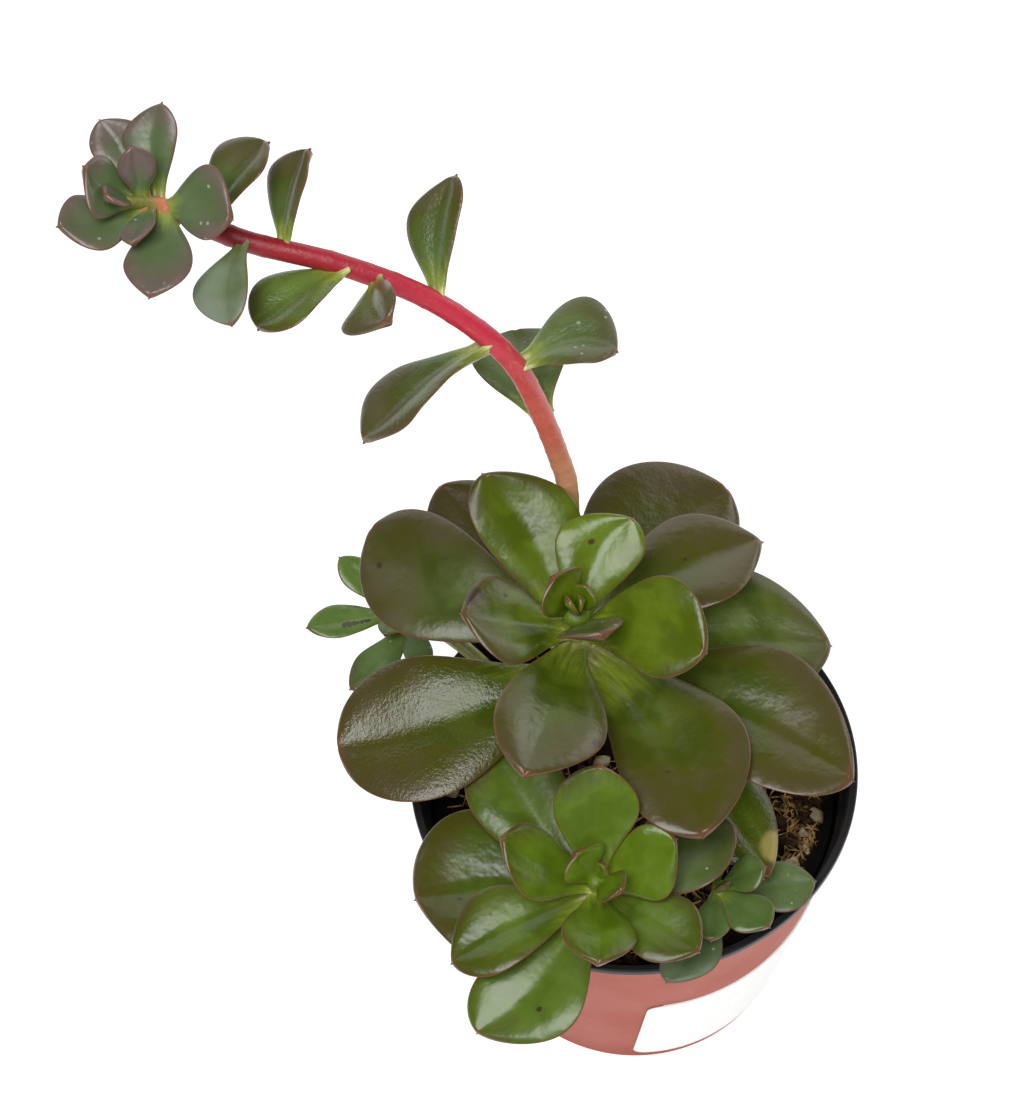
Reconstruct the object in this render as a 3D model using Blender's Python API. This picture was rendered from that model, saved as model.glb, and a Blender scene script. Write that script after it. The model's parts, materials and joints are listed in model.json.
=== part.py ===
"""A potted echeveria: a leggy plant with several rosettes in a four inch nursery pot.

The pot stands on the plane z = 0 with its axis on the world's Z axis. +X is the right of the
front view, and the leafy stalk leans out to -X. Dimensions are millimetres, scaled to metres by MM.
"""

import math
from collections import namedtuple

import bmesh
import bpy
import numpy as np

MM = 0.001
GAP = 0.3

# Pot: thin walled, tapered, with a narrow lip and a step inside for stacking
POT_HEIGHT = 85.0
RIM_RADIUS = 52.5
LIP_DROP = 2.5
WALL_TOP_RADIUS = 51.3
BASE_RADIUS = 38.5
BASE_EDGE = 2.5
WALL = 1.5
FLOOR = 1.8
STEP_HEIGHT = 75.0
STEP_DEPTH = 0.5
BASE_ROUND = 2.0
FLOOR_ROUND = 2.0
LIP_ROUND = 0.3
POT_SEGMENTS = 48
DRAIN_RADIUS = 3.5
DRAIN_CIRCLE = 25.0
DRAIN_COUNT = 4

# Blank sticker on the front right of the pot. Its paper is flat, so on the tapered wall its ends rise
LABEL_AZIMUTH = -45.0
LABEL_MIDDLE = 28.0
LABEL_TILT = 2.2
LABEL_WIDTH = 64.0
LABEL_HEIGHT = 44.5
LABEL_CORNER = 3.5
LABEL_THICKNESS = 0.4
LABEL_COLUMNS = 12

# Soil, below the step inside the pot, with perlite and bark lying in its surface
SOIL_TOP = 71.5
SOIL_RELIEF = 1.1
SOIL_RINGS = 7
SOIL_SEGMENTS = 36
CRUMB_COUNT = 16
CRUMB_SPIRAL = (21.0, 43.5)
CRUMB_ROOM = 2.0
CRUMB_LIFT = 0.1
GOLDEN_ANGLE = 2.39996
STEM_FOOT = 48.0

# Shoots: a stem's axis or route, and its radii at its foot and its top
MAIN_AXIS = (-12.5, 15.0)
MAIN_TOP = 128.0
MAIN_RADII = (4.6, 3.2)
FRONT_AXIS = (-8.0, -40.0)
FRONT_TOP = 105.5
FRONT_RADII = (3.0, 2.2)
RIGHT_AXIS = (19.0, -36.0)
RIGHT_TOP = 95.0
RIGHT_RADII = (1.8, 1.5)
LEFT_RADII = (2.0, 1.6)
LEFT_ROUTE = [(-27, 18, 48), (-28, 19, 76), (-34, 24, 87), (-44, 31, 92), (-57, 36, 95.5)]
LEFT_LEAN = 1.0
STEMS_IN_SOIL = [(*MAIN_AXIS, MAIN_RADII[0]), (*FRONT_AXIS, FRONT_RADII[0]), (*RIGHT_AXIS, RIGHT_RADII[0]),
                 (*LEFT_ROUTE[0][:2], LEFT_RADII[0] + LEFT_LEAN)]
STALK_RADII = (2.6, 2.2)
STALK_ROUTE = [
    (-13, 19.3, 100.5), (-13.5, 30, 101.5), (-14, 38.5, 105.5), (-15, 42.5, 113), (-14.6, 45, 124),
    (-14.9, 46.3, 135), (-16.4, 45.3, 146), (-18.4, 43.6, 159), (-21.3, 42.4, 173), (-24.6, 41.3, 185),
    (-31, 42, 195), (-43.3, 44.3, 205), (-60, 46.5, 212.5), (-77, 48.4, 217), (-89, 51.3, 220.7),
]
BUD_RADII = (2.2, 1.3)
BUD_ROUTE = [(-90.7, 51.7, 221.4), (-95, 52.5, 223.8), (-98.5, 51, 226.5), (-100.5, 49, 229)]

# A leaf grows from its stem at `below` mm from the stem's top. It points to `azimuth`, climbs at
# `rise` degrees, and by its tip has bent by `curl` degrees upwards and turned by `sweep` degrees.
# `roll` turns the blade about its own midrib.
Leaf = namedtuple("Leaf", "below azimuth rise curl length width roll sweep")

MAIN_LEAVES = [
    Leaf(1, 55, 62, -4, 8, 7.5, 0, 0),
    Leaf(2, 146, 64, 0, 13, 14, -4, 0),
    Leaf(4, -66, 50, -8, 18, 15, 0, -8),
    Leaf(6, 76, 36, -15, 27, 19.5, -10, -20),
    Leaf(7, 193, 31, -6, 28, 22.5, -4, -1),
    Leaf(8, -14, 45, -38, 35, 22.5, 28, -15),
    Leaf(9.5, 119, 30, 0, 41, 23, -1, 0),
    Leaf(10, -103, 30, -21, 48.5, 25, -16, 5),
    Leaf(12, 159, 6, -24, 58, 29, -16, -20),
    Leaf(15, 42, 16, -21, 48, 29, -11, -25),
    Leaf(21, 8, 9, -17, 56, 34, 2, -2),
    Leaf(20, -29, 7, -5, 66.5, 36.5, 3, 4),
    Leaf(22, 70, 8, -20, 60, 34, 13, -25),
    Leaf(22, 122, 10, -9, 55, 26, -4, 9),
    Leaf(16.5, -44, 6, -8, 56, 30.5, 4, -25),
    Leaf(25.5, 208, 3, -24, 57, 36, -7, -20),
    Leaf(30, -36, -1, -8, 64, 21, -8, -22),
]
FRONT_LEAVES = [
    Leaf(0.5, 150, 62, 0, 10, 12, -15, -5),
    Leaf(0.5, -45, 47, -14, 10, 9, 12, 0),
    Leaf(1, 50, 70, 0, 6, 5, 0, 0),
    Leaf(3, 96, 48, 4, 28, 19, 8, -18),
    Leaf(3.5, 178, 40, -4, 26, 16.5, -8, -5),
    Leaf(4.5, 15, 38, -13, 21, 16.5, 28, -5),
    Leaf(4.5, -90, 28, -8, 24, 16.5, -8, 2),
    Leaf(6.5, 203, 1, -17, 34, 20.5, -3, -2),
    Leaf(6.5, -35, 18, -16, 27, 17, 2, -4),
    Leaf(11.5, -122, 3, -24, 38, 24, 7, -8),
    Leaf(10, 130, 10, -11, 46, 22.5, -12, -16),
    Leaf(15, 157, 2, -6, 40, 38, -13.5, 43.5),
    Leaf(10.5, 28, 17, -6, 33, 25, -13, -13),
]
RIGHT_LEAVES = [
    Leaf(0, 120, 60, 0, 5, 4.5, 0, 0),
    Leaf(0.5, -60, 60, 0, 5, 4.5, 0, 0),
    Leaf(2, 15, 38, -10, 12, 9, 0, -8),
    Leaf(2, -47, 17, -10, 15, 11, 0, -1),
    Leaf(2.5, -102, 17, -9, 14, 8.5, 0, 8),
    Leaf(4, -113, 2, -11, 23.5, 12, 0, 0),
    Leaf(7.5, 11, 2, -4, 21.5, 13, 0, 0),
]
LEFT_LEAVES = [
    Leaf(0, 60, 50, -4, 7, 5, 0, 0),
    Leaf(0.5, 140, 20, -3, 18.5, 8.5, 0, 0),
    Leaf(1, -103, 22, -2, 9, 6, 0, -9),
    Leaf(1.5, 193, 8, -4, 22, 9.5, 0, 3),
    Leaf(2.5, -67, 6, -5, 17, 7, 0, -10),
    Leaf(4, 250, -2, -3, 23, 10, 3, -30),
]
STALK_LEAVES = [
    Leaf(102, 113, 8, -22, 25, 22, -3, -16),
    Leaf(79, 27, 28, -28, 22, 20, -9, -40),
    Leaf(70, 204, -4, -25, 33, 20.5, 28, 27),
    Leaf(54, 94, 35, -13, 26, 14.5, -36, -16),
    Leaf(40, -93, 27, -15, 20.5, 14.5, 42, 18),
    Leaf(34, 212, 2, -19, 22, 17.5, 13, 12),
    Leaf(20, 85, 47, -5, 21, 13.5, -36, -26),
    Leaf(12, 253, 13, -27, 22, 12.5, 20, 19),
    Leaf(3.5, 59, 33, -13, 20, 17, -7, -22),
]
BUD_LEAVES = [
    Leaf(9.5, -83, 4, -11, 22.5, 14, 1, -19),
    Leaf(9.5, -25, 42, -29, 19.5, 15, 36, 0),
    Leaf(8.5, 102, 40, -3, 20, 12, -16, -18),
    Leaf(7.5, 249, 18, -7, 14, 7.5, 12, 20),
    Leaf(5.5, 116, 21, 0, 19.5, 12, -13, 1),
    Leaf(5.5, 222, 12, 2, 19, 13.5, -17, -12),
    Leaf(4.5, 100, 74, -4, 13, 8, 10, 5),
    Leaf(3.5, 190, 43, 5, 13.5, 13, -23, -5),
    Leaf(1.5, 230, 56, -12, 9, 7, -10, 0),
]

# Blade section and outline, shared by every leaf
LEAF_SINK = 2.0
SINK_SHARE = 0.07
FOLD = 12.0
FOLD_POWER = 1.4
WIDEST = 0.66
BLADE_FOOT = 0.25
TIP_POWER = 0.7
EDGE_THICKNESS = 0.8
THICKNESS = 1.2
THICKNESS_SHARE = 0.07
ROOT_THICKNESS = 0.5
ROOT_THICKNESS_SHARE = 0.9
POINT_LENGTH = 1.1
POINT_RADIUS = 0.45
LARGE_LEAF = 30.0
LARGE_STATIONS = [0, 0.14, 0.3, 0.46, 0.6, 0.72, 0.83, 0.92, 0.975]
SMALL_STATIONS = [0, 0.22, 0.45, 0.64, 0.8, 0.91, 0.975]
TINY_LEAF = 16.0
TINY_STATIONS = [0, 0.3, 0.6, 0.82, 0.96]
ACROSS_TOP = [-1, -0.55, 0, 0.55, 1]
ACROSS_BOTTOM = [1, 0, -1]
STEM_SIDES = 12
STEM_CAP = 0.6


def clear_scene():
    """Start from an empty file."""
    for item in list(bpy.data.objects):
        bpy.data.objects.remove(item, do_unlink=True)


def material(name, colour, roughness):
    """A plain finish of one colour."""
    finish = bpy.data.materials.new(name)
    finish.use_nodes = True
    shader = finish.node_tree.nodes["Principled BSDF"]
    shader.inputs["Base Color"].default_value = (*colour, 1)
    shader.inputs["Roughness"].default_value = roughness
    shader.inputs["Metallic"].default_value = 0
    return finish


def rings_to_object(name, rings, finish):
    """Join equal rings of points into one closed tube with capped ends."""
    shape = bmesh.new()
    loops = [[shape.verts.new(point * MM) for point in ring] for ring in rings]
    sides = len(loops[0])
    for lower, upper in zip(loops, loops[1:]):
        for i in range(sides):
            j = (i + 1) % sides
            shape.faces.new((lower[i], lower[j], upper[j], upper[i]))
    shape.faces.new(loops[0][::-1])
    shape.faces.new(loops[-1])
    bmesh.ops.triangulate(shape, faces=shape.faces[:])
    bmesh.ops.recalc_face_normals(shape, faces=shape.faces[:])
    return mesh_object(name, shape, finish)


def mesh_object(name, shape, finish):
    """Hand a bmesh over to a new object of one finish."""
    mesh = bpy.data.meshes.new(name)
    shape.to_mesh(mesh)
    shape.free()
    mesh.materials.append(finish)
    item = bpy.data.objects.new(name, mesh)
    bpy.context.scene.collection.objects.link(item)
    return item


def smooth_route(points, steps=5):
    """A Catmull-Rom curve through the points, as an array of positions."""
    points = np.array(points, float)
    padded = np.vstack([2 * points[0] - points[1], points, 2 * points[-1] - points[-2]])
    curve = []
    for i in range(1, len(padded) - 2):
        before, start, end, after = padded[i - 1:i + 3]
        for t in np.linspace(0, 1, steps, endpoint=False):
            curve.append(0.5 * (2 * start + (end - before) * t
                                + (2 * before - 5 * start + 4 * end - after) * t ** 2
                                + (3 * start - before - 3 * end + after) * t ** 3))
    curve.append(points[-1])
    return np.array(curve)


def upright(axis, top):
    """A straight route for a stem that stands in the soil."""
    return np.array([(*axis, height) for height in np.linspace(STEM_FOOT, top, 6)])


def point_below_top(route, distance):
    """The point at a distance in mm down the route from its last point."""
    downward = route[::-1]
    steps = np.linalg.norm(np.diff(downward, axis=0), axis=1)
    travelled = np.concatenate([[0], np.cumsum(steps)])
    return np.array([np.interp(distance, travelled, downward[:, k]) for k in range(3)])


def stem(name, route, radius_foot, radius_top, finish):
    """A round stem along a route, with a rounded top."""
    tangents = np.gradient(route, axis=0)
    tangents /= np.linalg.norm(tangents, axis=1)[:, None]
    radii = np.linspace(radius_foot, radius_top, len(route))
    centres = list(route) + [route[-1] + tangents[-1] * radius_top * STEM_CAP]
    tangents = list(tangents) + [tangents[-1]]
    radii = list(radii) + [radius_top * STEM_CAP]
    angles = np.linspace(0, 2 * math.pi, STEM_SIDES, endpoint=False)
    side = np.array([0.0, 1.0, 0.0])
    rings = []
    for centre, tangent, radius in zip(centres, tangents, radii):
        side = side - tangent * side.dot(tangent)
        side /= np.linalg.norm(side)
        other = np.cross(tangent, side)
        rings.append([centre + radius * (side * math.cos(a) + other * math.sin(a)) for a in angles])
    return rings_to_object(name, rings, finish)


def half_width(u, width):
    """Half the blade's width at u, from 0 at its root to 1 at its tip."""
    if u < WIDEST:
        swell = u / WIDEST
        return width / 2 * (BLADE_FOOT + (1 - BLADE_FOOT) * swell ** 2 * (3 - 2 * swell))
    past = (u - WIDEST) / (1 - WIDEST)
    return width / 2 * (1 - past ** 2) ** TIP_POWER


def leaf_frames(leaf, root, stations):
    """Centre, sideways and upward directions of the blade at each station."""
    frames = []
    centre = root
    last = 0.0
    for u in stations:
        middle = (u + last) / 2
        centre = centre + leaf_heading(leaf, middle) * (u - last) * leaf.length
        heading = leaf_heading(leaf, u)
        azimuth = math.radians(leaf.azimuth + leaf.sweep * u)
        side = np.array([-math.sin(azimuth), math.cos(azimuth), 0.0])
        upward = np.cross(heading, side)
        roll = math.radians(leaf.roll)
        turned = side * math.cos(roll) + upward * math.sin(roll)
        frames.append((centre, turned, np.cross(heading, turned)))
        last = u
    return frames


def leaf_heading(leaf, u):
    """The direction in which the midrib runs at u."""
    climb = math.radians(leaf.rise + leaf.curl * u)
    azimuth = math.radians(leaf.azimuth + leaf.sweep * u)
    return np.array([math.cos(azimuth) * math.cos(climb), math.sin(azimuth) * math.cos(climb),
                     math.sin(climb)])


def blade(name, leaf, route, finish):
    """A fleshy, keeled blade that ends in a small point."""
    azimuth = math.radians(leaf.azimuth)
    outwards = np.array([math.cos(azimuth), math.sin(azimuth), 0.0])
    sink = min(LEAF_SINK, leaf.width * SINK_SHARE)
    root = point_below_top(route, leaf.below) + outwards * sink
    stations = SMALL_STATIONS
    if leaf.length > LARGE_LEAF:
        stations = LARGE_STATIONS
    elif leaf.length < TINY_LEAF:
        stations = TINY_STATIONS
    thickness = THICKNESS + THICKNESS_SHARE * leaf.width
    across = np.array(ACROSS_TOP + ACROSS_BOTTOM)
    face = np.array([1] * len(ACROSS_TOP) + [-1] * len(ACROSS_BOTTOM))
    lift = math.sin(math.radians(FOLD)) * np.abs(across) ** FOLD_POWER
    rings = []
    frames = leaf_frames(leaf, root, stations)
    for u, (centre, side, upward) in zip(stations, frames):
        reach = half_width(u, leaf.width)
        body = min(thickness, ROOT_THICKNESS + reach * ROOT_THICKNESS_SHARE)
        half = EDGE_THICKNESS / 2 + (body - EDGE_THICKNESS) / 2 * (1 - across ** 2)
        rings.append([centre + side * reach * v + upward * (reach * k + h)
                      for v, k, h in zip(across, lift, face * half)])
    centre, side, upward = frames[-1]
    end = centre + leaf_heading(leaf, 1) * ((1 - stations[-1]) * leaf.length + POINT_LENGTH)
    last = np.array(rings[-1])
    shrink = POINT_RADIUS / half_width(stations[-1], leaf.width)
    rings.append(list(end + (last - last.mean(axis=0)) * shrink))
    return rings_to_object(name, rings, finish)


def fuse(core, parts, operation="UNION"):
    """Join the parts to the core, or cut them from it, and remove them."""
    group = bpy.data.collections.new(core.name + "_parts")
    bpy.context.scene.collection.children.link(group)
    for item in parts:
        group.objects.link(item)
    boolean = core.modifiers.new("fuse", "BOOLEAN")
    boolean.operation = operation
    boolean.operand_type = "COLLECTION"
    boolean.collection = group
    boolean.solver = "EXACT"
    boolean.material_mode = "TRANSFER"
    bpy.context.view_layer.update()
    evaluated = core.evaluated_get(bpy.context.evaluated_depsgraph_get())
    joined = bpy.data.meshes.new_from_object(evaluated)
    core.modifiers.clear()
    core.data = joined
    for item in parts:
        bpy.data.objects.remove(item, do_unlink=True)
    bpy.data.collections.remove(group)
    return core


def shoot(name, route, radii, leaves, stem_finish, leaf_finish):
    """One shoot: a stem with all of its leaves grown into it."""
    core = stem(name, route, *radii, stem_finish)
    blades = [blade(f"{name}_leaf_{i}", leaf, route, leaf_finish) for i, leaf in enumerate(leaves)]
    return fuse(core, blades)


def turned(name, profile, segments, finish):
    """Turn a closed (radius, height) outline about the Z axis."""
    shape = bmesh.new()
    angles = np.linspace(0, 2 * math.pi, segments, endpoint=False)
    loops = []
    for radius, height in profile:
        if radius == 0:
            loops.append([shape.verts.new((0, 0, height * MM))] * segments)
        else:
            loops.append([shape.verts.new((radius * math.cos(a) * MM, radius * math.sin(a) * MM,
                                           height * MM)) for a in angles])
    for lower, upper in zip(loops, loops[1:]):
        for i in range(segments):
            j = (i + 1) % segments
            corners = (lower[i], lower[j], upper[j], upper[i])
            shape.faces.new(list(dict.fromkeys(corners)))
    bmesh.ops.recalc_face_normals(shape, faces=shape.faces[:])
    return mesh_object(name, shape, finish)


def wall_radius(height):
    """Outer radius of the pot's tapered wall."""
    share = (height - BASE_EDGE) / (POT_HEIGHT - LIP_DROP - BASE_EDGE)
    return BASE_RADIUS + (WALL_TOP_RADIUS - BASE_RADIUS) * share


def inner_radius(height):
    """Inner radius of the wall, which is thinner above the stacking step."""
    step = STEP_DEPTH if height > STEP_HEIGHT else 0
    return wall_radius(height) - WALL + step


def upright_disc(name, x, y, radius, bottom, top):
    """A plain cylinder, used as a cutter."""
    middle = (top + bottom) / 2
    bpy.ops.mesh.primitive_cylinder_add(vertices=STEM_SIDES, radius=radius * MM,
                                        depth=(top - bottom) * MM,
                                        location=(x * MM, y * MM, middle * MM))
    cutter = bpy.context.object
    cutter.name = name
    return cutter


def make_pot(finish):
    """The turned pot, with its drain holes cut through the floor."""
    lip_foot = POT_HEIGHT - LIP_DROP
    profile = [
        (0, 0), (BASE_RADIUS - BASE_ROUND, 0), (BASE_RADIUS - BASE_ROUND * 0.3, BASE_ROUND * 0.4),
        (BASE_RADIUS, BASE_EDGE), (wall_radius(lip_foot), lip_foot),
        (RIM_RADIUS - LIP_ROUND, lip_foot + LIP_ROUND), (RIM_RADIUS, lip_foot + LIP_ROUND * 4),
        (RIM_RADIUS - LIP_ROUND, POT_HEIGHT), (inner_radius(POT_HEIGHT), POT_HEIGHT),
        (inner_radius(STEP_HEIGHT + 1), STEP_HEIGHT + 1), (inner_radius(STEP_HEIGHT), STEP_HEIGHT),
        (inner_radius(FLOOR + FLOOR_ROUND), FLOOR + FLOOR_ROUND),
        (BASE_RADIUS - WALL - FLOOR_ROUND, FLOOR), (0, FLOOR),
    ]
    pot = turned("pot", profile, POT_SEGMENTS, finish)
    drains = []
    for i in range(DRAIN_COUNT):
        angle = 2 * math.pi * (i + 0.5) / DRAIN_COUNT
        x = DRAIN_CIRCLE * math.cos(angle)
        y = DRAIN_CIRCLE * math.sin(angle)
        drains.append(upright_disc(f"drain_{i}", x, y, DRAIN_RADIUS, -1, FLOOR + 1))
    return fuse(pot, drains, "DIFFERENCE")


def wrapped_on_wall(across, up, lift):
    """Wrap a point of the flat sticker, in mm from its middle, round the cone of the wall."""
    taper = math.atan2(WALL_TOP_RADIUS - BASE_RADIUS, POT_HEIGHT - LIP_DROP - BASE_EDGE)
    tilt = math.radians(LABEL_TILT)
    apex_to_middle = wall_radius(LABEL_MIDDLE) / math.sin(taper)
    sideways = across * math.cos(tilt) - up * math.sin(tilt)
    along_wall = apex_to_middle + across * math.sin(tilt) + up * math.cos(tilt)
    slant = math.hypot(sideways, along_wall)
    height = LABEL_MIDDLE + (slant - apex_to_middle) * math.cos(taper)
    angle = math.radians(LABEL_AZIMUTH) + math.atan2(sideways, along_wall) / math.sin(taper)
    radius = wall_radius(height) + lift
    return np.array([radius * math.cos(angle), radius * math.sin(angle), height])


def make_label(finish):
    """A sheet of rounded outline, wrapped round the tapered wall."""
    corner = [LABEL_CORNER * (1 - math.cos(a)) for a in np.radians([0, 45, 90])]
    heights = corner + [LABEL_HEIGHT / 2] + [LABEL_HEIGHT - h for h in corner[::-1]]
    rings = []
    for h in heights:
        into_corner = max(LABEL_CORNER - h, h - (LABEL_HEIGHT - LABEL_CORNER), 0)
        half = LABEL_WIDTH / 2 - LABEL_CORNER
        half += math.sqrt(max(LABEL_CORNER ** 2 - into_corner ** 2, 0.01))
        row = np.linspace(-half, half, LABEL_COLUMNS + 1)
        # the pot has flat facets, so the sheet stands clear of their corners
        inner = [wrapped_on_wall(s, h - LABEL_HEIGHT / 2, GAP) for s in row]
        outer = [wrapped_on_wall(s, h - LABEL_HEIGHT / 2, GAP + LABEL_THICKNESS) for s in row]
        rings.append(inner + outer[::-1])
    return rings_to_object("pot_label", rings, finish)


def soil_height(x, y, radius):
    """Crumbly relief: a few crossing waves that die out at the wall."""
    wave = math.sin(0.31 * x + 1.3) * math.cos(0.27 * y - 0.4)
    wave += 0.5 * math.sin(0.36 * x - 0.29 * y) + 0.3 * math.cos(0.15 * x + 0.42 * y)
    rim = inner_radius(SOIL_TOP) - 1.0
    return SOIL_TOP + SOIL_RELIEF * wave * min(1, (rim - radius) / 6 + 0.15)


def make_soil(finish):
    """The potting mix: a crumbly top, a tapered side and a hole for every stem."""
    shape = bmesh.new()
    floor = FLOOR + GAP
    edge = inner_radius(SOIL_TOP) * math.cos(math.pi / POT_SEGMENTS) - GAP
    angles = np.linspace(0, 2 * math.pi, SOIL_SEGMENTS, endpoint=False)
    centre = shape.verts.new((0, 0, soil_height(0, 0, 0) * MM))
    loops = []
    for k in range(1, SOIL_RINGS + 1):
        radius = edge * k / SOIL_RINGS
        ring = []
        for a in angles:
            x = radius * math.cos(a)
            y = radius * math.sin(a)
            ring.append(shape.verts.new((x * MM, y * MM, soil_height(x, y, radius) * MM)))
        loops.append(ring)
    foot = inner_radius(FLOOR + FLOOR_ROUND) * math.cos(math.pi / POT_SEGMENTS) - GAP
    for radius, height in ((foot, floor + FLOOR_ROUND), (foot - FLOOR_ROUND * 1.5, floor)):
        loops.append([shape.verts.new((radius * math.cos(a) * MM, radius * math.sin(a) * MM,
                                       height * MM)) for a in angles])
    for i in range(SOIL_SEGMENTS):
        j = (i + 1) % SOIL_SEGMENTS
        shape.faces.new((centre, loops[0][i], loops[0][j]))
        for inner, outer in zip(loops, loops[1:]):
            shape.faces.new((inner[i], outer[i], outer[j], inner[j]))
    shape.faces.new(loops[-1])
    bmesh.ops.recalc_face_normals(shape, faces=shape.faces[:])
    soil = mesh_object("soil", shape, finish)
    soil = fuse(soil, soil_crumbs(finish))
    return fuse(soil, stem_holes(), "DIFFERENCE")


def soil_crumbs(finish):
    """Perlite and bark lumps, half sunk in the surface, on a golden angle spiral."""
    random = np.random.default_rng(7)
    crumbs = []
    for i in range(CRUMB_COUNT):
        angle = i * GOLDEN_ANGLE - 0.1
        radius = np.interp(math.sqrt((i + 0.5) / CRUMB_COUNT), [0, 1], CRUMB_SPIRAL)
        x = radius * math.cos(angle)
        y = radius * math.sin(angle)
        size = random.uniform(1.5, 2.6)
        # a crumb this close to a stem would be cut apart by the stem's hole
        if min(math.hypot(x - sx, y - sy) - r for sx, sy, r in STEMS_IN_SOIL) < size + CRUMB_ROOM:
            continue
        bpy.ops.mesh.primitive_ico_sphere_add(subdivisions=1, radius=size * MM)
        crumb = bpy.context.object
        crumb.name = f"crumb_{i}"
        crumb.data.materials.append(finish)
        stretch = random.uniform(0.75, 1.25, 3)
        for vertex in crumb.data.vertices:
            vertex.co.x = vertex.co.x * stretch[0] + x * MM
            vertex.co.y = vertex.co.y * stretch[1] + y * MM
            vertex.co.z = vertex.co.z * stretch[2] + (soil_height(x, y, radius) + CRUMB_LIFT * size) * MM
        crumbs.append(crumb)
    return crumbs


def stem_holes():
    """Plain blind holes in the soil, one for each stem that stands in it."""
    holes = []
    for i, (x, y, radius) in enumerate(STEMS_IN_SOIL):
        bore = (radius + GAP) / math.cos(math.pi / STEM_SIDES)
        holes.append(upright_disc(f"hole_{i}", x, y, bore, STEM_FOOT - GAP, SOIL_TOP + 10))
    return holes


def smooth_round_pieces(names, angle=35):
    """Shade the curved pieces smoothly, with their sharp edges kept."""
    for name in names:
        mesh = bpy.data.objects[name].data
        mesh.shade_smooth()
        mesh.set_sharp_from_angle(angle=math.radians(angle))


def main():
    clear_scene()
    plastic = material("pot_plastic", (0.36, 0.12, 0.10), 0.45)
    paper = material("label_paper", (0.86, 0.86, 0.84), 0.6)
    mix = material("potting_mix", (0.045, 0.028, 0.018), 0.95)
    dark = material("dark_leaf", (0.085, 0.115, 0.030), 0.32)
    bright = material("bright_leaf", (0.12, 0.20, 0.045), 0.32)
    pale = material("pale_stem", (0.42, 0.47, 0.16), 0.45)
    red = material("red_stem", (0.47, 0.022, 0.05), 0.38)

    make_pot(plastic)
    make_label(paper)
    make_soil(mix)
    main_route = upright(MAIN_AXIS, MAIN_TOP)
    front_route = upright(FRONT_AXIS, FRONT_TOP)
    right_route = upright(RIGHT_AXIS, RIGHT_TOP)
    left_route = smooth_route(LEFT_ROUTE, 3)
    stalk_route = smooth_route(STALK_ROUTE, 3)
    bud_route = smooth_route(BUD_ROUTE, 2)
    shoot("main_rosette", main_route, MAIN_RADII, MAIN_LEAVES, pale, dark)
    shoot("front_rosette", front_route, FRONT_RADII, FRONT_LEAVES, pale, bright)
    shoot("right_offset", right_route, RIGHT_RADII, RIGHT_LEAVES, pale, bright)
    shoot("left_offset", left_route, LEFT_RADII, LEFT_LEAVES, pale, bright)
    shoot("leafy_stalk", stalk_route, STALK_RADII, STALK_LEAVES, red, dark)
    shoot("stalk_rosette", bud_route, BUD_RADII, BUD_LEAVES, pale, bright)
    smooth_round_pieces(["pot", "pot_label", "main_rosette", "front_rosette", "right_offset",
                         "left_offset", "leafy_stalk", "stalk_rosette"])


main()
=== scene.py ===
# %% [markdown]
# # A potted echeveria
# This lesson dresses a plain model of a leggy echeveria in its nursery pot: fleshy leaves with a
# keel and a thin red margin, a crimson stalk, a two-layer plastic pot and crumbly potting mix.
# The plain model is loaded first. It fixes where every piece is, so all the work here is shape in
# detail and surface finish. All sizes below are millimetres and become metres in one place.

# %% Load the plain model
import json
import math
from collections import namedtuple

import bpy
import numpy as np
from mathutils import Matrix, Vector

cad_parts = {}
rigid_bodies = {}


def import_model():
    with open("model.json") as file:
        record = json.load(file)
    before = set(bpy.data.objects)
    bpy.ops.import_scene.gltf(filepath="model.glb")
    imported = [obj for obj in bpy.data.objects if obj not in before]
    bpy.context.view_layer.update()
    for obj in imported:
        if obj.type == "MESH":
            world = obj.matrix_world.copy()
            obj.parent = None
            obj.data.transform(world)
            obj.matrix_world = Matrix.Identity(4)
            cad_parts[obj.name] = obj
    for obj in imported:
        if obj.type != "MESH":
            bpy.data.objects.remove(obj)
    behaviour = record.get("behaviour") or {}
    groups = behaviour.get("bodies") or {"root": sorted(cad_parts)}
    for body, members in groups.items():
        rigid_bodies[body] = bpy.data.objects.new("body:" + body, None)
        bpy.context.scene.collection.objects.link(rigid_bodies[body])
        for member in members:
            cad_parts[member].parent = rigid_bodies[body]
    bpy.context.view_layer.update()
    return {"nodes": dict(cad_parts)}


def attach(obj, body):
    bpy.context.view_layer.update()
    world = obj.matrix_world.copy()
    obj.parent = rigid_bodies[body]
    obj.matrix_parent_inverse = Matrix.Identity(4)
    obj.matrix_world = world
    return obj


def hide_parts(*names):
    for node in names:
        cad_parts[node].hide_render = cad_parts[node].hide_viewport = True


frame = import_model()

MM = 0.001
print("nodes:", ", ".join(sorted(frame["nodes"])))

# %% [markdown]
# ## The camera
# The photograph looks down on the plant from about 61 degrees, which a long lens at 600 mm from
# the rim of the pot reproduces. The camera aims at the rim's centre and is then turned a little
# sideways and up, which puts the pot low and right of the middle without any lens shift. A camera
# could be moved by hand until the picture agrees. Here it was worked out from the outline of the
# pot, so that one distance and three angles say where it stands.

# %% Camera
PICTURE_HEIGHT = 1107
FOCAL_PIXELS = 2545
SENSOR = 36.0
NEAREST = 10.0
AIM = np.array([0, 0, 85.0])
ELEVATION = math.radians(61.4)
DISTANCE = 600.0
YAW = math.radians(-2.71)
PITCH = math.radians(4.74)


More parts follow.
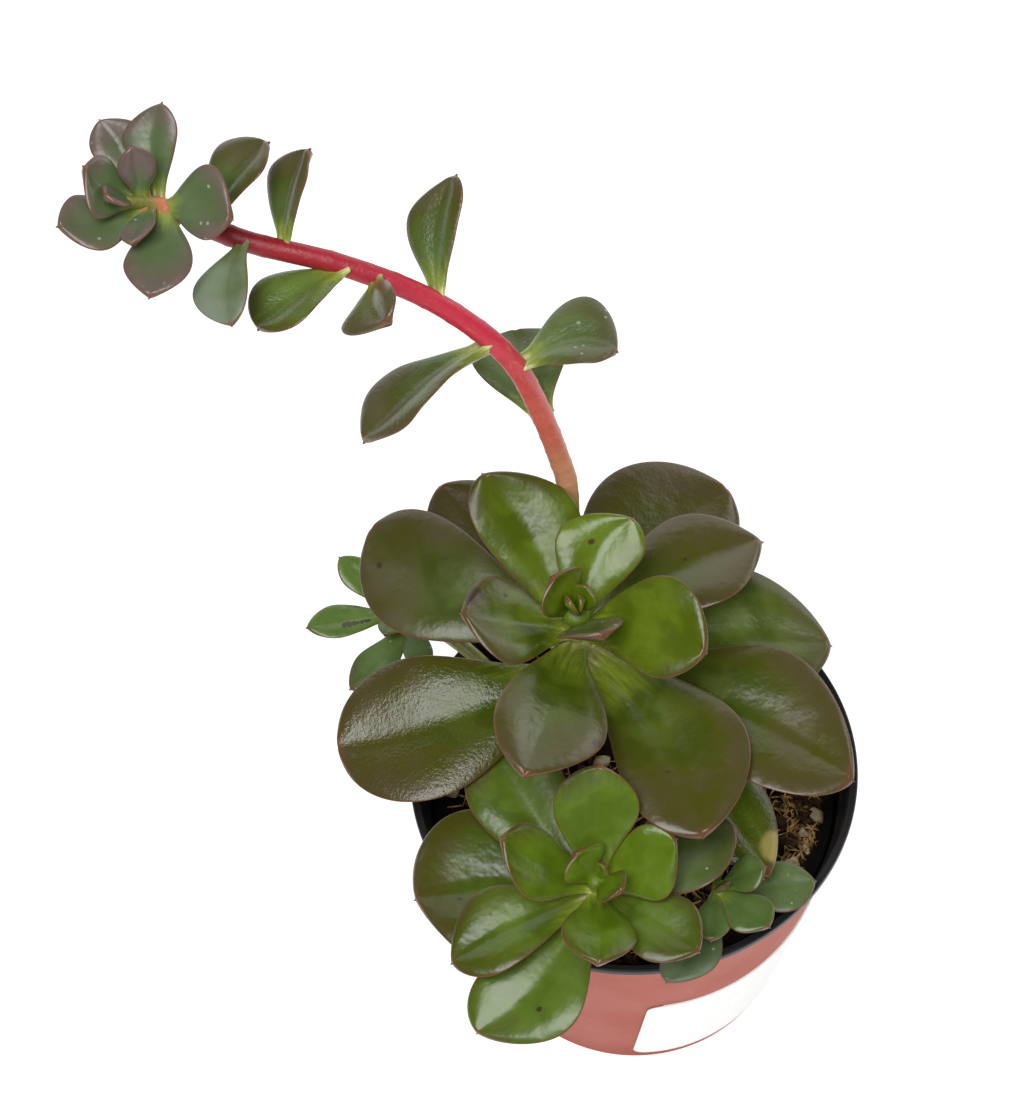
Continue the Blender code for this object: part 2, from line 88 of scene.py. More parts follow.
def place_camera():
    """Stand at DISTANCE from AIM, look at it, then turn by YAW to the right and PITCH upwards."""
    back = np.array([0, -math.cos(ELEVATION), math.sin(ELEVATION)])
    right = np.array([1.0, 0, 0])
    up = np.cross(back, right)
    ahead = -back * math.cos(YAW) + right * math.sin(YAW)
    right = right * math.cos(YAW) + back * math.sin(YAW)
    ahead, up = (ahead * math.cos(PITCH) + up * math.sin(PITCH),
                 up * math.cos(PITCH) - ahead * math.sin(PITCH))
    lens = bpy.data.cameras.new("camera")
    lens.sensor_fit = "VERTICAL"
    lens.sensor_height = SENSOR
    lens.lens = FOCAL_PIXELS / PICTURE_HEIGHT * SENSOR
    lens.clip_start = NEAREST * MM
    camera = bpy.data.objects.new("camera", lens)
    bpy.context.scene.collection.objects.link(camera)
    turn = np.eye(4)
    turn[:3, 0], turn[:3, 1], turn[:3, 2] = right, up, -ahead
    turn[:3, 3] = (AIM + back * DISTANCE) * MM
    camera.matrix_world = turn.T.tolist()
    bpy.context.scene.camera = camera
    return camera


camera = place_camera()
print("camera lens", round(camera.data.lens, 1), "mm")

# %% [markdown]
# ## Surfaces from arrays
# Every new piece is a grid of points worked out at once with numpy. A leaf and a stem are both
# tubes: rings of points along a path. They could be modelled one by one from a few subdivided
# faces, but a formula builds sixty leaves alike and lets each have its own size and turn. The
# helper closes each tube with a pole at either end and joins many of them into one mesh. It also
# stores named numbers at the points, such as how far along its leaf a point lies, for the
# materials to read.

# %% Helper: tubes to a mesh
def tube_faces(rings, sides, start):
    """Quads between neighbouring rings, and a fan of triangles to the pole at each end."""
    row, column = np.meshgrid(np.arange(rings - 1), np.arange(sides), indexing="ij")
    beside = (column + 1) % sides
    quads = np.stack([row * sides + column, row * sides + beside,
                      (row + 1) * sides + beside, (row + 1) * sides + column], axis=-1)
    around = np.arange(sides)
    last = (rings - 1) * sides
    first_pole = np.full(sides, rings * sides)
    foot = np.stack([(around + 1) % sides, around, first_pole], axis=-1)
    tip = np.stack([last + around, last + (around + 1) % sides, first_pole + 1], axis=-1)
    return start + quads.reshape(-1, 4), start + np.vstack([foot, tip])


def mesh_from_tubes(name, tubes):
    """Join (points, fields) tubes, of shape (rings, sides, 3), into one object of smooth closed skins."""
    places, quads, fans = [], [], []
    fields = {key: [] for key in tubes[0][1]}
    start = 0
    for points, values in tubes:
        rings, sides = points.shape[:2]
        four, three = tube_faces(rings, sides, start)
        body = points.reshape(-1, 3)
        if signed_volume(points) < 0:
            four, three = four[:, ::-1], three[:, ::-1]
        places.append(np.vstack([body, points[0].mean(axis=0), points[-1].mean(axis=0)]))
        for key, value in values.items():
            flat = value.reshape(rings * sides, -1)
            ends = np.vstack([value[0].reshape(sides, -1).mean(axis=0),
                              value[-1].reshape(sides, -1).mean(axis=0)])
            fields[key].append(np.vstack([flat, ends]))
        quads.append(four)
        fans.append(three)
        start += len(body) + 2
    return mesh_from_arrays(name, np.vstack(places), [np.vstack(quads), np.vstack(fans)],
                            {key: np.vstack(value) for key, value in fields.items()})


def signed_volume(points):
    """Sum of the triple products over the tube's quads: positive when its rings wind outwards."""
    low, high = points[:-1], points[1:]
    beside = np.roll(low, -1, axis=1)
    centre = points.reshape(-1, 3).mean(axis=0)
    return np.einsum("ijk,ijk->", low - centre, np.cross(beside - centre, high - centre))


def mesh_from_arrays(name, points, face_sets, fields):
    """A smooth mesh object at the origin, its points in mm, with one attribute for each field."""
    mesh = bpy.data.meshes.new(name)
    mesh.from_pydata((points * MM).tolist(), [], [face for faces in face_sets for face in faces.tolist()])
    for key, value in fields.items():
        kind = "FLOAT" if value.shape[1] == 1 else "FLOAT_VECTOR"
        slot = "value" if value.shape[1] == 1 else "vector"
        mesh.attributes.new(key, kind, "POINT").data.foreach_set(slot, value.astype(np.float32).ravel())
    mesh.shade_smooth()
    item = bpy.data.objects.new(name, mesh)
    bpy.context.scene.collection.objects.link(item)
    print(name, "has", len(mesh.vertices), "points and", len(mesh.polygons), "faces")
    return item


def smooth_step(value):
    """0 below 0, 1 above 1 and 3 t^2 - 2 t^3 between them."""
    value = np.clip(value, 0, 1)
    return value * value * (3 - 2 * value)


# %% [markdown]
# ## What a leaf is
# An echeveria leaf is a fleshy spoon. It leaves the stem on a narrow pale foot, widens to two
# thirds of its length and ends in a small point. It is folded a little along its midrib, so that
# each half is a soft lobe that catches the light by itself. Leaves could be scattered by a rule, but
# this plant has grown its own way, so each row of the table describes one leaf of it. The numbers
# were fitted to the leaf's outline and then corrected. Nearly the same rows shaped the plain
# model: a few leaves are turned a little here, and two tiny ones are added at the centre.

# %% The leaves, row by row
# `below` is the distance in mm from the stem's top. `azimuth` and `rise` give the direction, `curl`
# and `sweep` how far it has turned up or sideways by the tip, and `roll` turns the blade about its
# midrib, all in degrees. `point` is 0 for a round end and 1 for a drawn-out one, and `lean` moves the
# tip sideways. `dusk` is how brown the leaf has turned, and the last column is how much grey wax it
# wears; on a few leaves that wax is raised to paint on a grey sheen.
Leaf = namedtuple("Leaf", "below azimuth rise curl length width roll sweep point lean dusk bloom")

MAIN_LEAVES = [
    Leaf(0, -150, 74, 0, 7, 6, 0, 0, 0.6, 0, 0.05, 0),
    Leaf(0, 10, 78, 0, 6, 5, 0, 0, 0.6, 0, 0.05, 0),
    Leaf(1, 55, 62, -4, 8, 7.5, 0, 0, 0.6, 0, 0.2, 0.1),
    Leaf(2, 146, 64, 0, 13, 14, -4, 0, 0.5, 0, 0.35, 0.1),
    Leaf(4, -66, 50, -8, 18, 15, 0, -8, 0.4, 0.2, 0.6, 0.3),
    Leaf(6, 76, 36, -15, 27, 19.5, 11, -20, 0.5, -0.35, 0.12, 0.1),
    Leaf(7, 193, 31, -6, 28, 22.5, -4, -1, 0.8, -0.1, 0.5, 0.1),
    Leaf(8, -14, 45, -38, 35, 22.5, 28, -15, 0.4, -0.25, 0.3, 0.1),
    Leaf(9.5, 119, 30, 0, 41, 23, -5, 0, 0.35, 0.35, 0.3, 0.1),
    Leaf(10, -103, 30, -21, 48.5, 25, -16, 5, 0.8, -0.2, 0.6, 0.1),
    Leaf(12, 159, 6, -24, 58, 29, -16, -20, 0.2, -0.3, 0.65, 0.2),
    Leaf(15, 42, 16, -21, 48, 29, -11, -25, 0.8, 0, 0.75, 0.1),
    # painted sheen: this leaf's wax is raised to paint on the grey sheen at its tip
    Leaf(21, 8, 9, -17, 56, 34, 2, -2, 0.5, -0.25, 0.4, 0.22),
    Leaf(20, -26, 7, -5, 68, 33, 1, 4, 0.4, -0.45, 0.65, 0.1),
    Leaf(22, 70, 8, -20, 60, 34, 13, -25, 0.15, -0.2, 0.75, 0.1),
    Leaf(22, 122, 10, -9, 55, 26, -4, 9, 0.3, 0, 0.8, 0.1),
    Leaf(16.5, -44, 6, -8, 56, 30.5, 4, -25, 0.4, -0.3, 0.65, 0.1),
    Leaf(25.5, 208, 3, -24, 57, 36, -7, -20, 0, -0.1, 0.7, 0.05),
    Leaf(30, -36, -1, -8, 64, 21, -8, -22, 0.6, -0.2, 0.35, 0.1),
]
FRONT_LEAVES = [
    Leaf(0.5, 150, 62, 0, 10, 12, -15, -5, 0.4, 0, 0.2, 0.1),
    Leaf(0.5, -45, 47, -14, 10, 9, 12, 0, 0.5, 0, 0.3, 0.1),
    Leaf(1, 50, 70, 0, 6, 5, 0, 0, 0.5, 0, 0.2, 0.1),
    Leaf(3, 96, 48, 4, 28, 19, 8, -18, 0.45, 0, 0.2, 0.15),
    Leaf(3.5, 178, 40, -4, 26, 16.5, -8, -5, 0.7, -0.25, 0.3, 0.1),
    Leaf(4.5, 15, 38, -13, 21, 16.5, 28, -5, 0.5, 0.3, 0.15, 0.1),
    Leaf(4.5, -90, 28, -8, 24, 16.5, -8, 2, 0.75, 0, 0.3, 0.1),
    Leaf(6.5, 203, 1, -17, 34, 20.5, 5, -2, 0.4, 0.25, 0.4, 0.1),
    Leaf(6.5, -35, 18, -16, 27, 17, 2, -4, 0.6, 0, 0.4, 0.15),
    Leaf(11.5, -122, 3, -24, 38, 24, 4, -8, 0.3, -0.35, 0.25, 0.2),
    Leaf(10, 130, 10, -11, 46, 22.5, -12, -16, 0.4, 0, 0.35, 0.15),
    Leaf(15, 157, 2, -6, 40, 38, 3, 43.5, 0.3, 0, 0.5, 0.1),
    Leaf(10.5, 28, 17, -6, 33, 25, -13, -13, 0.3, 0, 0.4, 0.45),
]
RIGHT_LEAVES = [
    Leaf(0, 120, 60, 0, 5, 4.5, 0, 0, 0.5, 0, 0.1, 0.2),
    Leaf(0.5, -60, 60, 0, 5, 4.5, 0, 0, 0.5, 0, 0.1, 0.2),
    Leaf(2, 15, 38, -10, 12, 9, 0, -8, 0.4, 0, 0.1, 0.2),
    Leaf(2, -47, 17, -10, 15, 11, 0, -1, 0.4, 0.1, 0.15, 0.2),
    Leaf(2.5, -102, 17, -9, 14, 8.5, 0, 8, 0.4, 0, 0.15, 0.2),
    # painted sheen: this leaf's wax is raised to paint on its grey sheen
    Leaf(4, -113, 2, -11, 23.5, 12, 0, 0, 0.4, -0.4, 0.25, 0.8),
    Leaf(7.5, 11, 2, -4, 21.5, 13, 0, 0, 0.6, 0, 0.2, 0.35),
]
LEFT_LEAVES = [
    Leaf(0, 60, 50, -4, 7, 5, 0, 0, 0.5, 0, 0.1, 0.2),
    Leaf(0.5, 140, 20, -3, 18.5, 8.5, 0, 0, 0.4, 0, 0.1, 0.15),
    Leaf(1, -103, 22, -2, 9, 6, 0, -9, 0.5, 0, 0.15, 0.2),
    Leaf(1.5, 193, 8, -4, 22, 9.5, 0, 3, 0.5, 0, 0.2, 0.25),
    Leaf(2.5, -67, 6, -5, 17, 7, 0, -10, 0.5, 0, 0.3, 0.5),
    Leaf(4, 250, -2, -3, 23, 10, 3, -30, 0.4, 0, 0.4, 0.3),
]
STALK_LEAVES = [
    Leaf(102, 113, 8, -22, 25, 22, -3, -16, 0.2, 0, 0.4, 0.4),
    Leaf(79, 27, 28, -28, 22, 20, -9, -40, 0.45, -0.4, 0.55, 0.3),
    Leaf(70, 204, -4, -25, 33, 20.5, 28, 27, 0.8, -0.2, 0.7, 0.2),
    Leaf(54, 94, 35, -13, 26, 14.5, -36, -16, 0.5, -0.4, 0.6, 0.2),
    Leaf(40, -93, 27, -15, 20.5, 14.5, 42, 18, 0.5, 0.4, 0.75, 0.2),
    Leaf(34, 212, 2, -19, 22, 17.5, 13, 12, 0.1, 0, 0.35, 0.15),
    Leaf(20, 85, 47, -5, 21, 13.5, -36, -26, 0.6, -0.5, 0.75, 0.2),
    # painted sheen: this leaf's wax is raised to paint on its grey sheen
    Leaf(12, 253, 13, -27, 22, 12.5, 20, 19, 0.4, 0.35, 0.45, 1.0),
    Leaf(3.5, 59, 33, -13, 20, 17, -18, -22, 0.6, -0.1, 0.7, 0.2),
]
BUD_LEAVES = [
    Leaf(9.5, -83, 4, -11, 22.5, 14, 1, -19, 0.8, 0, 0.7, 0.25),
    Leaf(9.5, -25, 42, -29, 19.5, 15, 36, 0, 0.6, -0.35, 0.65, 0.3),
    Leaf(8.5, 102, 40, -3, 20, 12, -16, -18, 0.5, -0.35, 0.6, 0.25),
    Leaf(7.5, 249, 18, -7, 14, 7.5, 12, 20, 0.5, 0, 0.8, 0.6),
    Leaf(5.5, 116, 21, 0, 19.5, 12, -13, 1, 0.5, 0.3, 0.85, 0.25),
    Leaf(5.5, 222, 12, 2, 19, 13.5, -17, -12, 0.7, -0.2, 0.65, 0.3),
    Leaf(4.5, 100, 74, -4, 13, 8, 10, 5, 0.8, 0, 1.0, 0.2),
    Leaf(3.5, 190, 43, 5, 13.5, 13, -23, -5, 0.6, -0.3, 0.6, 0.2),
    Leaf(1.5, 230, 56, -12, 9, 7, -10, 0, 0.6, 0, 0.7, 0.2),
]
print(sum(map(len, (MAIN_LEAVES, FRONT_LEAVES, RIGHT_LEAVES, LEFT_LEAVES, STALK_LEAVES, BUD_LEAVES))),
      "leaves")

# %% [markdown]
# ## The paths of the stems
# The upright stems are straight. The stalk and the left offset are bent, and could be Bezier
# curves. They follow a Catmull-Rom curve instead, which passes through every point it is given and
# needs no handles, so a route is a short list of places on the stem.

# %% Stem routes
# `fold` is the angle in degrees by which a leaf's halves rise from its midrib
Shoot = namedtuple("Shoot", "route foot_radius top_radius fold leaves")
STEM_FOOT = 48.0
MAIN_FOOT = (-12.5, 15)
FRONT_FOOT = (-8, -40)
RIGHT_FOOT = (19, -36)
LEFT_ROUTE = [(-27, 18, 48), (-28, 19, 76), (-34, 24, 87), (-44, 31, 92), (-57, 36, 95.5)]
STALK_ROUTE = [
    (-13, 19.3, 100.5), (-13.5, 30, 101.5), (-14, 38.5, 105.5), (-15, 42.5, 113), (-14.6, 45, 124),
    (-14.9, 46.3, 135), (-16.4, 45.3, 146), (-18.4, 43.6, 159), (-21.3, 42.4, 173), (-24.6, 41.3, 185),
    (-31, 42, 195), (-43.3, 44.3, 205), (-60, 46.5, 212.5), (-77, 48.4, 217), (-89, 51.3, 220.7),
]
BUD_ROUTE = [(-90.7, 51.7, 221.4), (-95, 52.5, 223.8), (-98.5, 51, 226.5), (-100.5, 49, 229)]


def smooth_route(points, steps=12):
    """Catmull-Rom: a cubic through each pair of points, its slopes set by their neighbours."""
    points = np.array(points, float)
    padded = np.vstack([2 * points[0] - points[1], points, 2 * points[-1] - points[-2]])
    before, start, end, after = padded[:-3], padded[1:-2], padded[2:-1], padded[3:]
    t = np.linspace(0, 1, steps, endpoint=False)[:, None, None]
    curve = 0.5 * (2 * start + (end - before) * t + (2 * before - 5 * start + 4 * end - after) * t ** 2
                   + (3 * start - before - 3 * end + after) * t ** 3)
    return np.vstack([curve.transpose(1, 0, 2).reshape(-1, 3), points[-1]])


def upright(x, y, top, steps=40):
    """A straight route from the stem's foot in the soil to its top."""
    return np.linspace([x, y, STEM_FOOT], [x, y, top], steps)


SHOOTS = {
    "main_rosette": Shoot(upright(*MAIN_FOOT, 128), 4.6, 3.2, 12, MAIN_LEAVES),
    "front_rosette": Shoot(upright(*FRONT_FOOT, 105.5), 3.0, 2.2, 13, FRONT_LEAVES),
    "right_offset": Shoot(upright(*RIGHT_FOOT, 95), 1.8, 1.5, 11, RIGHT_LEAVES),
    "left_offset": Shoot(smooth_route(LEFT_ROUTE), 2.0, 1.6, 11, LEFT_LEAVES),
    "leafy_stalk": Shoot(smooth_route(STALK_ROUTE), 2.6, 2.2, 19, STALK_LEAVES),
    "stalk_rosette": Shoot(smooth_route(BUD_ROUTE), 2.2, 1.3, 14, BUD_LEAVES),
}
print("stalk route", len(SHOOTS["leafy_stalk"].route), "points")

# %% [markdown]
# ## The shape of one leaf
# The midrib is found by adding up short steps in the leaf's heading. Across it, a section is
# carried along: a thin lens whose two halves are folded up from the midrib and then level out, so
# each half is a puffed lobe with a crease between them. The outline comes from the same rule as the
# plain model's, but each leaf's end may be rounder or sharper, lean to one side, and has a nib. A
# flat card with Solidify would be quicker, but its edge would be square and its faces parallel.

# %% Leaf outline and section
RINGS = 52
SIDES = 48
RING_CROWDING = 1.15
WIDEST = 0.66
BLADE_FOOT = 0.25
ROUND_POWER = 0.52
SHARPER = 0.42
EDGE_THICKNESS = 0.8
THICKNESS = 1.2
THICKNESS_SHARE = 0.07
FOOT_THICKNESS = 0.5
FOOT_THICKNESS_SHARE = 0.9
RIM_SHARE = 0.8
RIM_ROUND = 0.6
POINT_LENGTH = 0.4
POINT_WIDTH = 0.36
NIB_START = 0.96
NIB_FADE = (0.93, 0.05)
LEAF_SINK = 2.0
SINK_SHARE = 0.07
CREASE = 0.07
LEVELLING = 0.6
CLASP = 0.12
CLASP_FOLD = 1.2
UNEVEN = 0.04
LEAN_BULGE = 0.25
LEAN_FROM = 0.5
LEAN_LIMIT = 1.1
CUP = 0.05
CUP_FROM = 0.75
SLOW_WAVE = 0.035
QUICK_WAVE = 0.014


def half_width(u, width, point):
    """A smooth step from the foot to the widest place, then an end of (1 - t^2) to a power."""
    swell = BLADE_FOOT + (1 - BLADE_FOOT) * smooth_step(u / WIDEST)
    past = np.clip((u - WIDEST) / (1 - WIDEST), 0, 1)
    power = ROUND_POWER + SHARPER * point
    return width / 2 * np.where(u < WIDEST, swell, (1 - past ** 2) ** power)


def heading(leaf, u):
    """The midrib's direction: the azimuth turns by `sweep` and the climb by `curl` along the leaf."""
    azimuth = np.radians(leaf.azimuth + leaf.sweep * u)
    climb = np.radians(leaf.rise + leaf.curl * u)
    return np.stack([np.cos(azimuth) * np.cos(climb), np.sin(azimuth) * np.cos(climb), np.sin(climb)],
                    axis=-1)


def leaf_frames(leaf, root, u):
    """Midrib points by adding up the heading, and the blade's sideways and upward directions."""
    ahead = heading(leaf, u)
    step = np.diff(u)[:, None] * leaf.length
    middle = heading(leaf, (u[1:] + u[:-1]) / 2)
    centre = root + np.vstack([np.zeros(3), np.cumsum(middle * step, axis=0)])
    azimuth = np.radians(leaf.azimuth + leaf.sweep * u)
    level = np.stack([-np.sin(azimuth), np.cos(azimuth), np.zeros_like(u)], axis=-1)
    roll = math.radians(leaf.roll)
    side = level * math.cos(roll) + np.cross(ahead, level) * math.sin(roll)
    return centre, side, np.cross(ahead, side)


def point_below_top(route, distance):
    """The point of a route at a distance from its last point, measured along it."""
    downward = route[::-1]
    travelled = np.concatenate([[0], np.cumsum(np.linalg.norm(np.diff(downward, axis=0), axis=1))])
    return np.array([np.interp(distance, travelled, downward[:, k]) for k in range(3)])


def lobed_lift(u, x, fold):
    """Rise of the two halves over the midrib: sin(fold) of a rounded V that levels out at the edge."""
    crease = np.sqrt(x ** 2 + CREASE ** 2) - CREASE
    clasp = 1 + CLASP_FOLD * np.clip(1 - u / CLASP, 0, 1)
    return math.sin(math.radians(fold)) * clasp * crease * (1 + LEVELLING - LEVELLING * x ** 2)


def edge_wave(u, x, random):
    """Two ripples that grow with |x|^3 towards the margin, as a share of the half width."""
    slow = np.sin(2 * math.pi * (random.uniform(0.7, 1.4) * u + random.uniform(0, 1)) + 0.8 * np.sign(x))
    quick = np.sin(2 * math.pi * (random.uniform(2.0, 3.2) * u + random.uniform(0, 1)) + 2.0 * x)
    return (SLOW_WAVE * slow + QUICK_WAVE * quick) * np.abs(x) ** 3


def leaf_reach(leaf, u, x, end, random):
    """Half width to each side: the outline and the nib by Pythagoras, fuller on the side it leans from."""
    fade = smooth_step((u - NIB_FADE[0]) / NIB_FADE[1])
    nib = POINT_WIDTH * np.sqrt(np.clip((end - u) / (end - NIB_START), 0, 1)) * fade
    reach = np.sqrt(half_width(u, leaf.width, leaf.point) ** 2 + nib ** 2)
    lopsided = random.uniform(-UNEVEN, UNEVEN) - LEAN_BULGE * leaf.lean
    bulge = lopsided * np.sin(math.pi * np.clip(u, 0, 1))
    return reach * (1 + bulge * np.sign(x))


def skin_height(leaf, reach, lens):
    """Half the thickness, up or down: an even rounded rim, and a belly that grows with lens^2."""
    thick = THICKNESS + THICKNESS_SHARE * leaf.width
    body = np.minimum(thick, FOOT_THICKNESS + reach * FOOT_THICKNESS_SHARE)
    rim = np.minimum(EDGE_THICKNESS, body) * RIM_SHARE
    return np.sign(lens) * (rim / 2 * np.abs(lens) ** RIM_ROUND + (body - rim) / 2 * lens ** 2)


def leaf_root(leaf, route):
    """Where the midrib starts: on the stem's axis, moved a little outwards."""
    azimuth = math.radians(leaf.azimuth)
    outward = np.array([math.cos(azimuth), math.sin(azimuth), 0])
    sink = min(LEAF_SINK, leaf.width * SINK_SHARE)
    return point_below_top(route, leaf.below) + sink * outward


def leaf_tube(leaf, index, shoot, random):
    """The leaf as a tube: x = cos t runs across the blade, and sin t gives its upper and lower skin."""
    end = 1 + POINT_LENGTH / leaf.length
    u = end * np.sin(np.linspace(0, 1, RINGS) ** RING_CROWDING * math.pi / 2)
    centre, side, upward = leaf_frames(leaf, leaf_root(leaf, shoot.route), u)
    t = np.linspace(0, 2 * math.pi, SIDES, endpoint=False)
    x = np.cos(t)[None, :]
    lens = np.sin(t)[None, :]
    u = u[:, None]

    reach = leaf_reach(leaf, u, x, end, random)
    shift = np.clip((u - LEAN_FROM) / (1 - LEAN_FROM), 0, LEAN_LIMIT) ** 2
    sideways = reach * x + leaf.lean * leaf.width / 2 * shift
    lift = reach * (lobed_lift(u, x, shoot.fold) + edge_wave(u, x, random))
    cup = CUP * leaf.width * np.clip((u - CUP_FROM) / (1 - CUP_FROM), 0, 1) ** 2
    height = lift + skin_height(leaf, reach, lens) + cup
    points = centre[:, None] + side[:, None] * sideways[..., None] + upward[:, None] * height[..., None]
    return points, leaf_fields(leaf, index, u, x, reach)


# %% [markdown]
# ## What a leaf tells its material
# Colour could be painted on by hand. Instead each point stores what its colour depends on: how far
# along the leaf it lies, how far the leaf has aged there, its wax with a few leaves' painted sheen,
# and its distance from the margin. The materials then need no image, and the pattern stays in place
# when the leaf is bent.

# %% Fields of a leaf
DUSK_START = 0.8
DUSK_SPREAD = 0.75
DUSK_END = 1.05
DUSK_EDGE = 0.75
EDGE_POWER = 2.2
EDGE_REACH = 2.2
FRESHEST = 1.15
FRESH_LOSS = 1.5
OLD_LEAF = 25.0
NARROW_LEAF = 14.0
FOOT_CLEARANCE = 3.0
FOOT_FADE = 0.1
LEAF_SPACING = 100.0


def leaf_fields(leaf, index, u, x, reach):
    """Dusk is a smooth step up to the tip, from further back on an older leaf, and |x| to a power."""
    shape = (RINGS, SIDES)
    along = np.broadcast_to(u, shape)
    across = np.broadcast_to(x, shape)
    start = DUSK_START - DUSK_SPREAD * leaf.dusk
    ageing = leaf.dusk * smooth_step((along - start) / (DUSK_END - start))
    at_edge = np.abs(across) ** EDGE_POWER * smooth_step(along * EDGE_REACH)
    ageing = ageing + DUSK_EDGE * leaf.dusk * at_edge
    # the thin line round a small leaf is drawn as thin as its size asks
    line_scale = max(1.0, NARROW_LEAF / leaf.width)
    inwards = reach * (1 - np.abs(across)) + FOOT_CLEARANCE * smooth_step((CLASP - along) / FOOT_FADE)
    return {
        "along": along,
        "dusk": np.clip(ageing, 0, 1),
        "bloom": np.full(shape, leaf.bloom),
        "fresh": np.full(shape, float(np.clip(FRESHEST - FRESH_LOSS * leaf.dusk, 0, 1))),
        "age": np.full(shape, min(1.0, leaf.below / OLD_LEAF)),
        "margin": inwards * line_scale,
        "skin": np.stack([reach * across, along * leaf.length, np.full(shape, LEAF_SPACING * index)],
                         axis=-1),
        "stem": np.zeros(shape),
    }


sample, fields = leaf_tube(MAIN_LEAVES[7], 7, SHOOTS["main_rosette"], np.random.default_rng(1))
print("one leaf is a grid of", sample.shape, "with", ", ".join(fields))

# %% [markdown]
# ## The shape of a stem
# A stem is a round tube with a domed top. A curve with a bevel would give the tube, but not what old
# leaves leave behind: a shallow ring where each one dropped. So the radius is a formula too, which
# swells a little at regular steps. The tube stores the same fields as the leaves, because both are
# joined into one piece per shoot.

# %% Stem tube
STEM_SIDES = 28
STEM_CAP = 0.6
CAP_RINGS = 5
CAP_POLE = 0.03
RING_SWELL = 0.05
RING_SPACING = 7.0
RING_WIDTH = 0.6
STEM_WAX = 0.1
STEM_MARGIN = 9.0
STEM_SKIN_RADIUS = 2.4


def stem_radius(shoot, length, dome):
    """A straight taper and the dome, times 1 and a bell curve at every ring."""
    taper = np.linspace(shoot.foot_radius, shoot.top_radius, len(shoot.route))
    radius = np.concatenate([taper, shoot.top_radius * dome])
    from_ring = (length % RING_SPACING - RING_SPACING / 2) / RING_WIDTH
    return radius * (1 + RING_SWELL * np.exp(-from_ring ** 2))


def stem_tube(shoot):
    """A circle carried along the route, its first direction the part of +Y that crosses the route."""
    route = shoot.route
    tangent = np.gradient(route, axis=0)
    tangent /= np.linalg.norm(tangent, axis=1)[:, None]
    bow = np.linspace(0, math.pi / 2, CAP_RINGS + 1)[1:]
    cap = route[-1] + tangent[-1] * (np.sin(bow) * shoot.top_radius * STEM_CAP)[:, None]
    centres = np.vstack([route, cap])
    tangent = np.vstack([tangent, np.repeat(tangent[-1:], CAP_RINGS, axis=0)])
    length = np.concatenate([[0], np.cumsum(np.linalg.norm(np.diff(centres, axis=0), axis=1))])
    radius = stem_radius(shoot, length, np.cos(bow) * (1 - CAP_POLE) + CAP_POLE)
    side = np.array([0.0, 1.0, 0.0]) - tangent * tangent[:, 1:2]
    side /= np.linalg.norm(side, axis=1)[:, None]
    other = np.cross(tangent, side)
    angle = np.linspace(0, 2 * math.pi, STEM_SIDES, endpoint=False)
    circle = side[:, None] * np.cos(angle)[None, :, None] + other[:, None] * np.sin(angle)[None, :, None]
    return centres[:, None] + radius[:, None, None] * circle, stem_fields(length, angle)


def stem_fields(length, angle):
    """Along is the share of the length, and the skin is the tube rolled out flat."""
    shape = (len(length), len(angle))
    around = np.broadcast_to(angle * STEM_SKIN_RADIUS, shape)
    up = np.broadcast_to(length[:, None], shape)
    return {
        "along": np.array(np.broadcast_to((length / length[-1])[:, None], shape)),
        "dusk": np.zeros(shape),
        "bloom": np.full(shape, STEM_WAX),
        "fresh": np.ones(shape),
        "age": np.ones(shape),
        "margin": np.full(shape, STEM_MARGIN),
        "skin": np.stack([around, up, np.full(shape, -LEAF_SPACING)], axis=-1),
        "stem": np.ones(shape),
    }


def grow(name, shoot, seed):
    """One piece: the stem and all of its leaves."""
    random = np.random.default_rng(seed)
    tubes = [stem_tube(shoot)]
    tubes += [leaf_tube(leaf, index, shoot, random) for index, leaf in enumerate(shoot.leaves)]
    return mesh_from_tubes(name, tubes)


# %% [markdown]
# ## Grow the shoots
# Each shoot replaces the plain node of the same place. A leaf could be an object of its own, but a
# shoot is one living body, so its leaves and stem are joined in one piece. The random draws are
# seeded, so every run grows the same plant.

# %% The six shoots
plants = {name: grow(name + "_leaves", shoot, seed)
          for seed, (name, shoot) in enumerate(SHOOTS.items(), start=11)}
for name, plant in plants.items():
    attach(plant, "root")
    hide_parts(name)
print(len(plants), "shoots")

# %% [markdown]
# ## Writing materials
# A material is a small graph of nodes, which could be drawn by hand in the shader editor. Written
# down, it needs short helpers to stay readable: `put` adds a node and fills or links its inputs,
# `mixed` blends two colours, `ranged` turns one range of numbers smoothly into another, and the rest
# add one node each.

# %% Helpers for materials
def fresh_material(name):
    """A material with a Principled shader; returns the material, its tree and the shader."""
    material = bpy.data.materials.new(name)
    material.use_nodes = True
    return material, material.node_tree, material.node_tree.nodes["Principled BSDF"]


def put(tree, kind, inputs=None, **settings):
    """Add a node, apply its settings, then set or link each named input."""
    node = tree.nodes.new(kind)
    for key, value in settings.items():
        setattr(node, key, value)
    for key, value in (inputs or {}).items():
        if isinstance(value, bpy.types.NodeSocket):
            tree.links.new(value, node.inputs[key])
        else:
            node.inputs[key].default_value = value
    return node


def mixed(tree, share, first, second, mode="MIX"):
    """The first colour where share is 0 and the second where it is 1."""
    node = put(tree, "ShaderNodeMix", data_type="RGBA", blend_type=mode)
    for index, value in ((0, share), (6, first), (7, second)):
        if isinstance(value, bpy.types.NodeSocket):
            tree.links.new(value, node.inputs[index])
        elif index == 0:
            node.inputs[0].default_value = value
        else:
            node.inputs[index].default_value = (*value, 1)
    return node.outputs[2]


